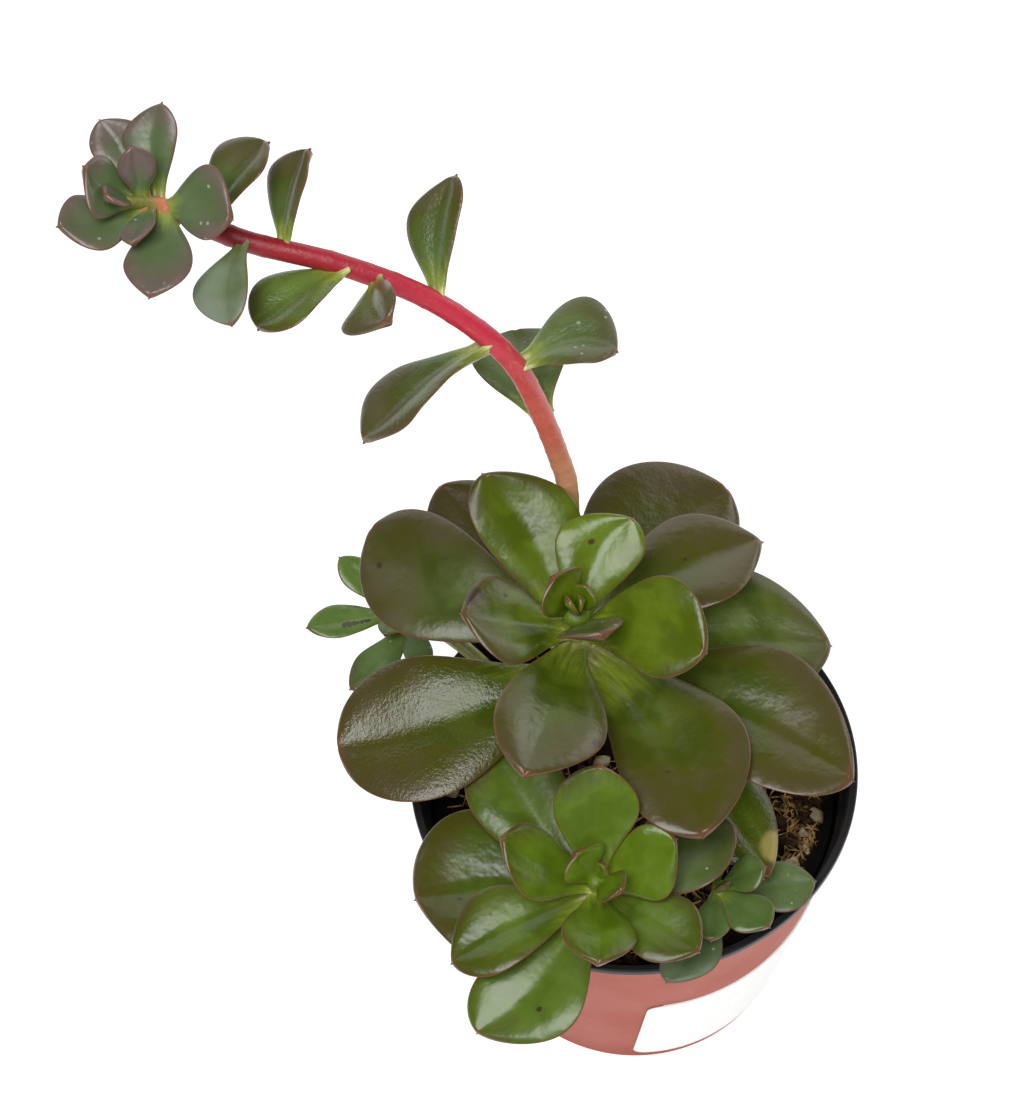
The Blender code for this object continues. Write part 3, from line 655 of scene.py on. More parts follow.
def ranged(tree, value, low, high, to_low=0.0, to_high=1.0):
    """A smooth step of value from low to high, given out as to_low to to_high."""
    node = put(tree, "ShaderNodeMapRange", {"Value": value, "From Min": low, "From Max": high,
                                            "To Min": to_low, "To Max": to_high},
               interpolation_type="SMOOTHSTEP")
    return node.outputs[0]


def maths(tree, operation, first, second=0.0):
    """One arithmetic step."""
    return put(tree, "ShaderNodeMath", {0: first, 1: second}, operation=operation).outputs[0]


def attribute(tree, name, output="Fac"):
    """A field stored at the points of the mesh."""
    return put(tree, "ShaderNodeAttribute", attribute_name=name).outputs[output]


def noise(tree, vector, scale, detail=3.0, roughness=0.55):
    """Fractal noise from 0 to 1."""
    return put(tree, "ShaderNodeTexNoise", {"Vector": vector, "Scale": scale, "Detail": detail,
                                            "Roughness": roughness}).outputs[0]


def stretched(tree, vector, scale):
    """The coordinates scaled differently along each axis."""
    return put(tree, "ShaderNodeMapping", {"Vector": vector, "Scale": scale}).outputs[0]


def bumped(tree, shader, height, distance, strength=1.0):
    """Tilt the shader's normals by a height in metres."""
    bump = put(tree, "ShaderNodeBump", {"Height": height, "Distance": distance, "Strength": strength})
    tree.links.new(bump.outputs[0], shader.inputs["Normal"])


def object_place(tree):
    """Object coordinates in metres."""
    return put(tree, "ShaderNodeTexCoord").outputs["Object"]


def from_axis(tree, place):
    """Distance from the Z axis: the length of the coordinates with their height left out."""
    level = stretched(tree, place, (1, 1, 0))
    return put(tree, "ShaderNodeVectorMath", {0: level}, operation="LENGTH").outputs["Value"]


print("material helpers ready")

# %% [markdown]
# ## Leaf skin
# The skin is smooth and waxy. Young leaves and leaf feet are bright green, and strong light turns
# the ends and margins olive and then a brown purple. A thin reddish line runs round the edge, and
# wax leaves a grey veil, which on a few leaves is raised to paint on their grey sheen. Such a skin
# could be painted as a picture. It is mixed in that order from the fields stored in the mesh
# instead, with soft noise so that no border is a clean line, and so one graph serves every shoot.
# Other than that painted sheen and one painted glow, gloss comes from the shader alone.

# %% Leaf material
OLIVE = (0.052, 0.054, 0.002)
DUSK = (0.060, 0.046, 0.014)
FOOT_GREEN = (0.26, 0.33, 0.03)
FOOT_CREAM = (0.60, 0.56, 0.26)
MARGIN_BROWN = (0.13, 0.048, 0.025)
WAX_AND_SHEEN_GREY = (0.15, 0.19, 0.13)
SCAR_BROWN = (0.035, 0.020, 0.012)
WATER_MARK = (0.42, 0.46, 0.38)
SUNLIT = (0.42, 0.34, 0.10)
SCAR_STRENGTH = 0.88
GLOW_STRENGTH = 0.5
LEAF_IOR = 1.48
CELL_SCALE = 1300.0
RIPPLE_SCALE = 260.0
SKIN_RELIEF = 0.00025

# A skin's two greens run from `bright` on fresh leaves to `deep`, and age through the two `tones`.
# `marks` are spots and `glow` are spots of painted light, and `bark` is the function that colours the stem.
Skin = namedtuple("Skin", "title bright deep cream tones marks glow bark")


def spots(tree, skin, marks):
    """1 inside each mark, 0 outside: a mark is across and along in mm, its leaf's index and its size."""
    rough = put(tree, "ShaderNodeTexNoise", {"Vector": skin, "Scale": 0.9, "Detail": 3.0}).outputs["Color"]
    shaken = put(tree, "ShaderNodeVectorMath", {0: skin, 1: rough}, operation="ADD").outputs[0]
    total = None
    for across, along, index, size in marks:
        centre = (across + 0.5, along + 0.5, LEAF_SPACING * index + 0.5)
        gap = put(tree, "ShaderNodeVectorMath", {0: shaken, 1: centre}, operation="DISTANCE")
        mark = ranged(tree, gap.outputs["Value"], size * 0.6, size, 1.0, 0.0)
        total = mark if total is None else maths(tree, "MAXIMUM", total, mark)
    return total


def aged_green(tree, kind, soft, wobble):
    """Deep to bright green where the leaf is fresh, then over to the two tones with age."""
    lively = maths(tree, "ADD", attribute(tree, "fresh"), ranged(tree, soft, 0.35, 0.65, -0.28, 0.28))
    green = mixed(tree, ranged(tree, lively, 0.0, 1.0), kind.deep, kind.bright)
    dusk = maths(tree, "ADD", attribute(tree, "dusk"), ranged(tree, soft, 0.3, 0.7, -0.14, 0.14))
    dusk = maths(tree, "ADD", dusk, wobble)
    colour = mixed(tree, ranged(tree, dusk, 0.05, 0.5), green, kind.tones[0])
    return mixed(tree, ranged(tree, dusk, 0.3, 0.85), colour, kind.tones[1])


def with_foot(tree, colour, kind, along, wobble):
    """Pale green over the first third of the leaf, and cream at its very foot."""
    near_foot = maths(tree, "ADD", along, wobble)
    colour = mixed(tree, ranged(tree, near_foot, 0.04, 0.36, 0.75, 0.0), colour, FOOT_GREEN)
    return mixed(tree, ranged(tree, near_foot, 0.0, 0.12, 0.85, 0.0), colour, kind.cream)


def with_wax_and_sheen(tree, colour, skin, soft):
    """A grey veil of wax in soft patches, raised on a few leaves to paint on a grey sheen, and dried drops
    on the waxiest leaves.
    """
    bloom = attribute(tree, "bloom")
    wax = maths(tree, "MULTIPLY", maths(tree, "SUBTRACT", bloom, 0.08),
                ranged(tree, soft, 0.3, 0.75, 0.3, 1.0))
    # on the leaves whose wax is raised, this grey veil is painted sheen
    colour = mixed(tree, wax, colour, WAX_AND_SHEEN_GREY)
    drops = put(tree, "ShaderNodeTexVoronoi", {"Vector": skin, "Scale": 0.3}).outputs["Distance"]
    dried = maths(tree, "MULTIPLY", ranged(tree, drops, 0.07, 0.13, 0.55, 0.0),
                  ranged(tree, bloom, 0.2, 0.34))
    return mixed(tree, dried, colour, WATER_MARK)


def with_margin(tree, colour, along, wobble):
    """A thin brown line along the edge, stronger towards the tip, and a brown point."""
    edge = maths(tree, "ADD", attribute(tree, "margin"), maths(tree, "MULTIPLY", wobble, 2.0))
    edge = maths(tree, "MULTIPLY", ranged(tree, edge, 0.08, 0.42, 1.0, 0.0),
                 ranged(tree, along, 0.1, 0.5, 0.25, 0.9))
    colour = mixed(tree, edge, colour, MARGIN_BROWN)
    tip = maths(tree, "MULTIPLY", ranged(tree, along, 0.95, 1.0), 0.7)
    return mixed(tree, tip, colour, MARGIN_BROWN)


def leaf_gloss(tree, soft):
    """Roughness: low and a little patchy, higher under wax and on the stem."""
    waxy = maths(tree, "MULTIPLY", attribute(tree, "bloom"), 0.25)
    woody = maths(tree, "MULTIPLY", attribute(tree, "stem"), 0.15)
    gloss = maths(tree, "ADD", ranged(tree, soft, 0.3, 0.7, 0.20, 0.29), waxy)
    return maths(tree, "ADD", gloss, woody)


def leaf_relief(tree, place):
    """Fine cells, which show most on the oldest leaves, and wider ripples."""
    cells = noise(tree, place, CELL_SCALE, 2.0, 0.6)
    coarse = ranged(tree, attribute(tree, "age"), 0.75, 1.05, 0.1, 1.1)
    ripples = noise(tree, place, RIPPLE_SCALE, 2.0)
    return maths(tree, "ADD", maths(tree, "MULTIPLY", cells, coarse), maths(tree, "MULTIPLY", ripples, 1.6))


def leaf_material(kind):
    """Green to olive to dusk along each leaf, with a pale foot, a brown margin, a grey veil of wax and
    painted sheen, and one painted glow.
    """
    material, tree, shader = fresh_material(kind.title)
    skin = attribute(tree, "skin", "Vector")
    along = attribute(tree, "along")
    soft = noise(tree, skin, 0.09, 2.0)
    streak = noise(tree, stretched(tree, skin, (0.9, 0.09, 1.0)), 1.0, 3.0)
    mottle = noise(tree, skin, 0.55, 4.0, 0.6)
    wobble = ranged(tree, streak, 0.3, 0.7, -0.05, 0.05)

    colour = aged_green(tree, kind, soft, wobble)
    colour = with_foot(tree, colour, kind, along, wobble)
    colour = mixed(tree, ranged(tree, mottle, 0.35, 0.7, 0.0, 0.2), colour, kind.tones[0])
    colour = with_wax_and_sheen(tree, colour, skin, soft)
    colour = with_margin(tree, colour, along, wobble)
    # the scars are the leaf's own colour; the glow is painted light
    layers = ((kind.marks, SCAR_STRENGTH, SCAR_BROWN), (kind.glow, GLOW_STRENGTH, SUNLIT))
    for marks, strength, tint in layers:
        if marks:
            colour = mixed(tree, maths(tree, "MULTIPLY", spots(tree, skin, marks), strength), colour, tint)
    colour = mixed(tree, attribute(tree, "stem"), colour, kind.bark(tree, along, skin, mottle))

    tree.links.new(colour, shader.inputs["Base Color"])
    tree.links.new(leaf_gloss(tree, soft), shader.inputs["Roughness"])
    shader.inputs["IOR"].default_value = LEAF_IOR
    bumped(tree, shader, leaf_relief(tree, object_place(tree)), SKIN_RELIEF, 0.5)
    return material


# %% [markdown]
# ## Bark
# The upright stems are pale green with tan patches. The stalk starts green and ends crimson, and
# its tip's short stem turns from crimson over peach to olive. A gradient texture would need its own
# direction on every bend, so the colours are mixed by how far along the stem a point lies.

# %% Stem colours
STEM_GREEN = (0.30, 0.33, 0.07)
STEM_TAN = (0.22, 0.20, 0.07)
STEM_OLIVE = (0.17, 0.17, 0.035)
GROWING_GREEN = (0.095, 0.150, 0.003)
CRIMSON = (0.22, 0.004, 0.010)
ROSE = (0.42, 0.016, 0.038)
SALMON = (0.50, 0.10, 0.07)
SALMON_PALE = (0.62, 0.30, 0.16)
PEACH = (0.46, 0.15, 0.075)


def green_bark(tree, along, skin, mottle):
    """Pale green with tan patches, and leaf green at the growing point."""
    colour = mixed(tree, ranged(tree, mottle, 0.35, 0.7), STEM_GREEN, STEM_TAN)
    return mixed(tree, ranged(tree, along, 0.93, 0.99), colour, GROWING_GREEN)


def peach_bark(tree, along, skin, mottle):
    """Crimson as the stalk, then peach, and olive green between the leaves."""
    colour = mixed(tree, ranged(tree, along, 0.05, 0.35), CRIMSON, PEACH)
    return mixed(tree, ranged(tree, along, 0.35, 0.65), colour, STEM_OLIVE)


def red_bark(tree, along, skin, mottle):
    """Pale green at the foot, salmon above it and crimson to the tip, with long pale flecks."""
    flecks = noise(tree, stretched(tree, skin, (1.4, 0.3, 1.0)), 1.0, 4.0, 0.6)
    colour = mixed(tree, ranged(tree, along, 0.20, 0.30), STEM_GREEN, SALMON_PALE)
    colour = mixed(tree, ranged(tree, along, 0.28, 0.44), colour, SALMON)
    colour = mixed(tree, ranged(tree, along, 0.42, 0.66), colour, ROSE)
    colour = mixed(tree, ranged(tree, along, 0.66, 0.95), colour, CRIMSON)
    pale = maths(tree, "MULTIPLY", ranged(tree, flecks, 0.55, 0.75, 0.0, 0.45),
                 ranged(tree, along, 0.5, 0.95, 1.0, 0.1))
    return mixed(tree, pale, colour, SALMON_PALE)


print("barks:", ", ".join(bark.__name__ for bark in (green_bark, peach_bark, red_bark)))

# %% [markdown]
# ## The six skins
# The shoots differ in their greens: the oldest rosette is the darkest, and the one at the stalk's
# tip is grey with mauve ends. Single scars, pits and spots are placed by their leaf and by
# millimetres on it, and so is one patch of painted light where light shines through a leaf's end.
# They could be scattered at random, but these few are what the eye knows the plant by.

# %% Leaf skins
MAUVE = (0.105, 0.062, 0.058)
SAGE = (0.072, 0.092, 0.036)

# across, along, leaf, size: a scar by a tip, a pit at an edge and small spots
MAIN_MARKS = [(-5.5, 24, 6, 2.6), (-3.5, 25.5, 6, 1.8), (11.5, 34, 9, 1.6), (5, 49, 10, 0.9),
              (3, 18, 5, 0.9), (-6, 17, 6, 0.8), (-4, 38, 16, 0.6), (6, 45, 13, 0.6), (2, 30, 11, 0.6)]
FRONT_MARKS = [(5, 26, 9, 0.7), (-4, 22, 7, 0.6), (3, 30, 11, 0.7)]
# a dry streak along one side of a leaf, and a spot on its other side
LEFT_MARKS = [(1.2, 7.2, 3, 0.5), (1.3, 8, 3, 0.6), (1.4, 9, 3, 0.7), (1.5, 10, 3, 0.7), (1.5, 11, 3, 0.9),
              (1.6, 12.1, 3, 1.1), (1.6, 13.2, 3, 1.0), (-3.6, 9, 3, 1.0)]
# painted light: a pale yellow patch where light shines through the end of one leaf
MAIN_GLOW = [(4.5, 59, 18, 4.5)]
GREENS = (OLIVE, DUSK)
LEAF_SKINS = {
    "main_rosette": Skin("dark_leaf_skin", (0.095, 0.150, 0.003), (0.036, 0.056, 0.001), FOOT_CREAM,
                         GREENS, MAIN_MARKS, MAIN_GLOW, green_bark),
    "front_rosette": Skin("bright_leaf_skin", (0.088, 0.150, 0.004), (0.040, 0.068, 0.002), FOOT_CREAM,
                          GREENS, FRONT_MARKS, [], green_bark),
    "right_offset": Skin("offset_leaf_skin", (0.066, 0.115, 0.020), (0.042, 0.070, 0.014), FOOT_CREAM,
                         GREENS, [], [], green_bark),
    "left_offset": Skin("marked_leaf_skin", (0.088, 0.160, 0.024), (0.050, 0.090, 0.018), FOOT_CREAM,
                        GREENS, LEFT_MARKS, [], green_bark),
    "leafy_stalk": Skin("stalk_leaf_skin", (0.10, 0.16, 0.02), (0.055, 0.085, 0.014), FOOT_CREAM,
                        GREENS, [], [], red_bark),
    "stalk_rosette": Skin("bud_leaf_skin", (0.11, 0.17, 0.055), (0.065, 0.105, 0.035), PEACH,
                          (SAGE, MAUVE), [], [], peach_bark),
}
for name, plant in plants.items():
    plant.data.materials.append(leaf_material(LEAF_SKINS[name]))
print("leaf skins:", ", ".join(LEAF_SKINS))

# %% [markdown]
# ## The pot
# A nursery pot is blow or injection moulded with a thin wall. This one has a black layer inside and
# a terracotta one outside, which meet at the lip. The wall is a turned profile: straight taper, a
# small step inside on which another pot would sit, and a rounded lip. A scaled cylinder with
# Solidify would lack the lip and the step, so the outline is drawn once and turned. Four drain
# holes are cut through its floor with a Boolean, as the mould's pins would leave them.

# %% Pot shape
POT_HEIGHT = 85.0
RIM_RADIUS = 52.5
LIP_DROP = 2.5
WALL_TOP_RADIUS = 51.3
BASE_RADIUS = 38.5
BASE_EDGE = 2.5
WALL = 1.5
FLOOR = 1.8
STEP_HEIGHT = 75.0
STEP_DEPTH = 0.5
FLOOR_ROUND = 2.0
LIP_ROUND = 0.7
RIM_ROUND_OVER = 0.5
SEAM_ROUND = 0.4
INNER_EDGE_ROUND = 0.35
SEAM_PLACE = (1.0, 0.75)
INNER_EDGE_DROP = 0.85
INNER_FACE_DROP = 1.1
STEP_SLOPE = 0.9
LIP_SLOPE = 0.6
FOOT_INSET = 3.0
POLE_RADIUS = 0.5
FLOOR_RING = 20.0
DRAIN_RADIUS = 3.5
DRAIN_CIRCLE = 25.0
DRAIN_ANGLES = (45, 135, 225, 315)
DRAIN_SIDES = 48
CUTTER_DEPTH = 8.0
TURNS = 256


def wall_radius(height):
    """A straight taper from the base edge to the lip."""
    share = (height - BASE_EDGE) / (POT_HEIGHT - LIP_DROP - BASE_EDGE)
    return BASE_RADIUS + (WALL_TOP_RADIUS - BASE_RADIUS) * share


def inner_radius(height):
    """The wall's inner face, set back above the stacking step."""
    return wall_radius(height) - WALL + (STEP_DEPTH if height > STEP_HEIGHT else 0)


def arc(centre, radius, start, stop, count=7):
    """Points on an arc in the (radius, height) plane; the angles are in degrees."""
    angle = np.radians(np.linspace(start, stop, count))
    return np.stack([centre[0] + radius * np.cos(angle), centre[1] + radius * np.sin(angle)], axis=-1)


def turned(profile, turns=TURNS):
    """A grid with one turned ring for each point of the profile."""
    angle = np.linspace(0, 2 * math.pi, turns, endpoint=False)
    radius, height = profile[:, :1], profile[:, 1:]
    return np.stack([radius * np.cos(angle), radius * np.sin(angle),
                     np.broadcast_to(height, (len(profile), turns))], axis=-1)


def wall_line(radius_at, heights):
    """(radius, height) pairs down or up one face of the wall."""
    return np.stack([[radius_at(height) for height in heights], heights], axis=-1)


def pot_profile():
    """From the middle of the underside round the wall and the lip to the middle of the floor."""
    lip = POT_HEIGHT - LIP_DROP
    inner_top = inner_radius(POT_HEIGHT)
    return np.vstack([
        [(POLE_RADIUS, 0), (FLOOR_RING, 0), (BASE_RADIUS - FOOT_INSET, 0)],
        arc((BASE_RADIUS - BASE_EDGE, BASE_EDGE), BASE_EDGE, -80, -5),
        wall_line(wall_radius, np.linspace(BASE_EDGE, lip - LIP_SLOPE, 24)),
        arc((RIM_RADIUS - LIP_ROUND, lip + LIP_ROUND), LIP_ROUND, -80, 0),
        arc((RIM_RADIUS - RIM_ROUND_OVER, POT_HEIGHT - RIM_ROUND_OVER), RIM_ROUND_OVER, 0, 90),
        arc((inner_top + SEAM_PLACE[0], POT_HEIGHT - SEAM_PLACE[1]), SEAM_ROUND, 60, 150, 5),
        arc((inner_top + INNER_EDGE_ROUND, POT_HEIGHT - INNER_EDGE_DROP), INNER_EDGE_ROUND, 90, 180, 5),
        wall_line(inner_radius, np.linspace(POT_HEIGHT - INNER_FACE_DROP, STEP_HEIGHT + STEP_SLOPE, 6)),
        wall_line(inner_radius, np.linspace(STEP_HEIGHT, FLOOR + FLOOR_ROUND, 18)),
        [(BASE_RADIUS - WALL - FLOOR_ROUND, FLOOR), (FLOOR_RING, FLOOR), (POLE_RADIUS, FLOOR)],
    ])


def cut_drains(pot):
    """Cut the four drain holes with cylinders, apply the cut and remove the cutters."""
    holes = bpy.data.collections.new("drain_cutters")
    bpy.context.scene.collection.children.link(holes)
    for angle in np.radians(DRAIN_ANGLES):
        place = DRAIN_CIRCLE * np.array([math.cos(angle), math.sin(angle), 0])
        bpy.ops.mesh.primitive_cylinder_add(vertices=DRAIN_SIDES, radius=DRAIN_RADIUS * MM,
                                            depth=CUTTER_DEPTH * MM, location=place * MM)
        cutter = bpy.context.object
        for home in list(cutter.users_collection):
            home.objects.unlink(cutter)
        holes.objects.link(cutter)
    boolean = pot.modifiers.new("drains", "BOOLEAN")
    boolean.operation = "DIFFERENCE"
    boolean.operand_type = "COLLECTION"
    boolean.collection = holes
    bpy.context.view_layer.update()
    pot.data = bpy.data.meshes.new_from_object(pot.evaluated_get(bpy.context.evaluated_depsgraph_get()))
    pot.modifiers.clear()
    for cutter in list(holes.objects):
        bpy.data.objects.remove(cutter, do_unlink=True)
    bpy.data.collections.remove(holes)


profile = pot_profile()
pot = mesh_from_tubes("pot_shell", [(turned(profile), {})])
cut_drains(pot)
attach(pot, "root")
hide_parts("pot")
print("pot profile has", len(profile), "points")

# %% [markdown]
# ## The pot's two plastics
# The terracotta layer is matt, a little chalky and faintly mottled by the moulding, and has painted
# shade that darkens it near the ground. The black one inside is smoother, and below the step it is
# painted near black as painted shade from the lip.
# Two materials could be given to two sets of faces. One material serves both here, because where a
# point lies tells which layer it is on: the outer layer ends just over the lip's foot.

# %% Pot material
TERRACOTTA = (0.385, 0.092, 0.060)
TERRACOTTA_DARK = (0.33, 0.050, 0.022)
CHALK = (0.75, 0.5, 0.42)
POT_BLACK = (0.016, 0.016, 0.018)
POT_BLACK_WORN = (0.022, 0.021, 0.02)
SHADE_BLACK = (0.002, 0.002, 0.002)
LAYER_OVER_LIP = 0.15
UNDERSIDE = 0.3
FOOT_SHADE_HEIGHT = 22.0
CLAY_ROUGHER = 0.2
CLOUD_SCALE = 45.0
SPECK_SCALE = 1600.0
POT_SHEEN = 0.25
POT_RELIEF = 0.00005


def outer_layer(tree, place, height):
    """1 on the terracotta: past the middle of the wall or on the underside, and below the lip's edge."""
    slope = (WALL_TOP_RADIUS - BASE_RADIUS) / (POT_HEIGHT - LIP_DROP - BASE_EDGE)
    middle = maths(tree, "ADD", maths(tree, "MULTIPLY", height, slope),
                   (BASE_RADIUS - slope * BASE_EDGE - WALL / 2) * MM)
    outer = maths(tree, "GREATER_THAN", from_axis(tree, place), middle)
    below_lip = maths(tree, "LESS_THAN", height, (POT_HEIGHT - LIP_DROP + LAYER_OVER_LIP) * MM)
    under = maths(tree, "LESS_THAN", height, UNDERSIDE * MM)
    return maths(tree, "MULTIPLY", maths(tree, "MAXIMUM", outer, under), below_lip)


def pot_material():
    """Mottled terracotta on the outer layer and black plastic on the inner one, each with painted shade."""
    material, tree, shader = fresh_material("two_layer_plastic")
    place = object_place(tree)
    height = put(tree, "ShaderNodeSeparateXYZ", {0: place}).outputs["Z"]
    red = outer_layer(tree, place, height)
    cloud = noise(tree, place, CLOUD_SCALE, 4.0)
    speck = noise(tree, place, SPECK_SCALE, 2.0)
    clay = mixed(tree, ranged(tree, cloud, 0.3, 0.75, 0.0, 0.35), TERRACOTTA, TERRACOTTA_DARK)
    # painted shade: the terracotta is darkened towards the ground
    clay = mixed(tree, ranged(tree, height, 0.0, FOOT_SHADE_HEIGHT * MM, 0.9, 0.0), clay, TERRACOTTA_DARK)
    clay = mixed(tree, ranged(tree, speck, 0.55, 0.8, 0.0, 0.12), clay, CHALK)
    dark = mixed(tree, ranged(tree, cloud, 0.4, 0.8, 0.0, 0.5), POT_BLACK, POT_BLACK_WORN)
    # painted shade: below the step the black inside is painted near black
    above_step = ranged(tree, height, (STEP_HEIGHT - 0.6) * MM, (STEP_HEIGHT + 0.8) * MM)
    dark = mixed(tree, above_step, SHADE_BLACK, dark)
    tree.links.new(mixed(tree, red, dark, clay), shader.inputs["Base Color"])
    worn = maths(tree, "MULTIPLY", red, CLAY_ROUGHER)
    rough = maths(tree, "ADD", worn, ranged(tree, cloud, 0.3, 0.7, 0.34, 0.44))
    tree.links.new(rough, shader.inputs["Roughness"])
    shader.inputs["Specular IOR Level"].default_value = POT_SHEEN
    bumped(tree, shader, speck, POT_RELIEF, 0.5)
    return material


pot.data.materials.clear()
pot.data.materials.append(pot_material())
print("pot finished")

# %% [markdown]
# ## The blank sticker
# A paper sticker with round corners wraps part of the wall. Paper doesn't stretch, so it is laid out
# flat and rolled on: the wall unrolls to a sector of a circle round the cone's far apex, and a point
# of the flat sheet keeps its distance from that apex. That is why the ends of the sticker rise. A
# Shrinkwrap modifier would press a sheet on the wall too, but it would stretch the paper. Nothing is
# printed on it.

# %% Sticker
LABEL_AZIMUTH = -45.0
LABEL_MIDDLE = 28.0
LABEL_TILT = 2.2
LABEL_WIDTH = 64.0
LABEL_HEIGHT = 44.5
LABEL_CORNER = 3.5
LABEL_LIFT = 0.12
LABEL_SKIN = 0.3
LABEL_COLUMNS = 64
CORNER_ROWS = 9
STRAIGHT_ROWS = 18
PAPER_WHITE = (0.90, 0.90, 0.89)
PAPER_SHADE = (0.82, 0.82, 0.80)
PAPER_ROUGHNESS = 0.5
PAPER_RELIEF = 0.00004
PAPER_FIBRE_SCALE = 700.0


def rolled_on_wall(across, up, lift):
    """Flat (across, up) to polar round the apex; the polar angle over sin(taper) is the azimuth."""
    taper = math.atan2(WALL_TOP_RADIUS - BASE_RADIUS, POT_HEIGHT - LIP_DROP - BASE_EDGE)
    tilt = math.radians(LABEL_TILT)
    apex_to_middle = wall_radius(LABEL_MIDDLE) / math.sin(taper)
    sideways = across * math.cos(tilt) - up * math.sin(tilt)
    along_wall = apex_to_middle + across * math.sin(tilt) + up * math.cos(tilt)
    slant = np.hypot(sideways, along_wall)
    height = LABEL_MIDDLE + (slant - apex_to_middle) * math.cos(taper)
    angle = math.radians(LABEL_AZIMUTH) + np.arctan2(sideways, along_wall) / math.sin(taper)
    radius = wall_radius(height) + lift
    return np.stack([radius * np.cos(angle), radius * np.sin(angle), height], axis=-1)


def label_grid(lift):
    """Rows packed into the corners; each row spans a straight edge less its corner arc."""
    corner = LABEL_CORNER * (1 - np.cos(np.linspace(0, math.pi / 2, CORNER_ROWS)))
    straight = np.linspace(LABEL_CORNER, LABEL_HEIGHT - LABEL_CORNER, STRAIGHT_ROWS + 2)[1:-1]
    rows = np.concatenate([corner, straight, (LABEL_HEIGHT - corner)[::-1]])
    inset = np.clip(np.maximum(LABEL_CORNER - rows, rows - (LABEL_HEIGHT - LABEL_CORNER)), 0, None)
    half = LABEL_WIDTH / 2 - LABEL_CORNER + np.sqrt(np.clip(LABEL_CORNER ** 2 - inset ** 2, 0.01, None))
    share = np.sin(np.linspace(-1, 1, LABEL_COLUMNS) * math.pi / 2)
    return rolled_on_wall(half[:, None] * share, (rows - LABEL_HEIGHT / 2)[:, None], lift)


def make_label():
    """Two grids, back and face, joined round as a flat tube."""
    face = label_grid(LABEL_LIFT + LABEL_SKIN)
    back = label_grid(LABEL_LIFT)
    return mesh_from_tubes("sticker", [(np.concatenate([face, back[:, ::-1]], axis=1), {})])


def label_material():
    """White coated paper with a trace of fibre."""
    material, tree, shader = fresh_material("sticker_paper")
    place = object_place(tree)
    fibre = noise(tree, place, PAPER_FIBRE_SCALE, 5.0, 0.7)
    paper = mixed(tree, ranged(tree, fibre, 0.4, 0.7), PAPER_WHITE, PAPER_SHADE)
    tree.links.new(paper, shader.inputs["Base Color"])
    shader.inputs["Roughness"].default_value = PAPER_ROUGHNESS
    bumped(tree, shader, fibre, PAPER_RELIEF, 0.4)
    return material


sticker = make_label()
sticker.data.materials.append(label_material())
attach(sticker, "root")
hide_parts("pot_label")
print("sticker", LABEL_WIDTH, "by", LABEL_HEIGHT, "mm")

# %% [markdown]
# ## Potting mix
# The mix is dark peat with fibres, bark chips and white perlite. Its body is a turned block with an
# uneven top. The top could be displaced by a noise texture, but crossing waves give any lump the
# height under it at once, so that everything lies on the surface.

# %% Soil body
SOIL_TOP = 71.5
SOIL_GAP = 0.35
SOIL_FLOOR_GAP = 0.3
SOIL_FOOT = 7.0
SOIL_RELIEF = 1.1
FINE_RELIEF = 0.45
WALL_BAND = 6.0
SOIL_RINGS = 72
SOIL_TURNS = 220


def soil_height(x, y):
    """Soft mounds from crossing waves, as in the plain model, with finer crumbs, both low by the wall."""
    radius = np.hypot(x, y)
    wave = np.sin(0.31 * x + 1.3) * np.cos(0.27 * y - 0.4)
    wave = wave + 0.5 * np.sin(0.36 * x - 0.29 * y) + 0.3 * np.cos(0.15 * x + 0.42 * y)
    fine = np.sin(1.9 * x + 2.0 * np.sin(1.1 * y)) * np.cos(1.7 * y + 1.4 * np.sin(1.3 * x))
    fine = fine + 0.5 * np.sin(3.7 * x - 2.9 * y) * np.cos(3.1 * x + 4.3 * y)
    hold = np.clip((inner_radius(SOIL_TOP) - 1 - radius) / WALL_BAND + 0.15, 0.1, 1)
    return SOIL_TOP + hold * (SOIL_RELIEF * wave + FINE_RELIEF * fine)


def soil_radius(height):
    """The soil's side: the inside of the wall, less a thin gap."""
    return inner_radius(height) - SOIL_GAP


def soil_body():
    """A turned block: floor, tapered side, and the uneven top as its last rings."""
    floor = FLOOR + SOIL_FLOOR_GAP
    side = wall_line(soil_radius, np.linspace(FLOOR + FLOOR_ROUND, SOIL_TOP - 1, 10))
    profile = np.vstack([[(POLE_RADIUS, floor), (BASE_RADIUS - SOIL_FOOT, floor)], side])
    top = np.linspace(soil_radius(SOIL_TOP), 0.6, SOIL_RINGS)
    grid = turned(np.vstack([profile, np.stack([top, np.full_like(top, SOIL_TOP)], axis=-1)]), SOIL_TURNS)
    surface = grid[len(profile):]
    surface[..., 2] = soil_height(surface[..., 0], surface[..., 1])
    return mesh_from_tubes("potting_mix", [(grid, {})])


soil = soil_body()

# %% [markdown]
# ## Places for the lumps
# The lumps could be scattered by a particle system, which few other programs can read. Here their
# places are seeded draws: evenly over the soil, clear of the stems and the wall, and thicker in one
# heap that shows on the right between the leaves and the rim.

# %% Scattering
HEAP = (39.5, -9.0)
HEAP_SPREAD = (3.0, 8.0)
HEAP_CLEARANCE = 3.5
PERLITE_ON_HEAP = [(43.5, -1.0), (43.2, -6.0), (40.2, -11.0), (40.5, -15.5), (37.0, -19.5)]
LEFT_FOOT = (-27.5, 18.5)
STEMS_IN_SOIL = [(*MAIN_FOOT, 4.6), (*FRONT_FOOT, 3.0), (*RIGHT_FOOT, 1.8), (*LEFT_FOOT, 3.0)]


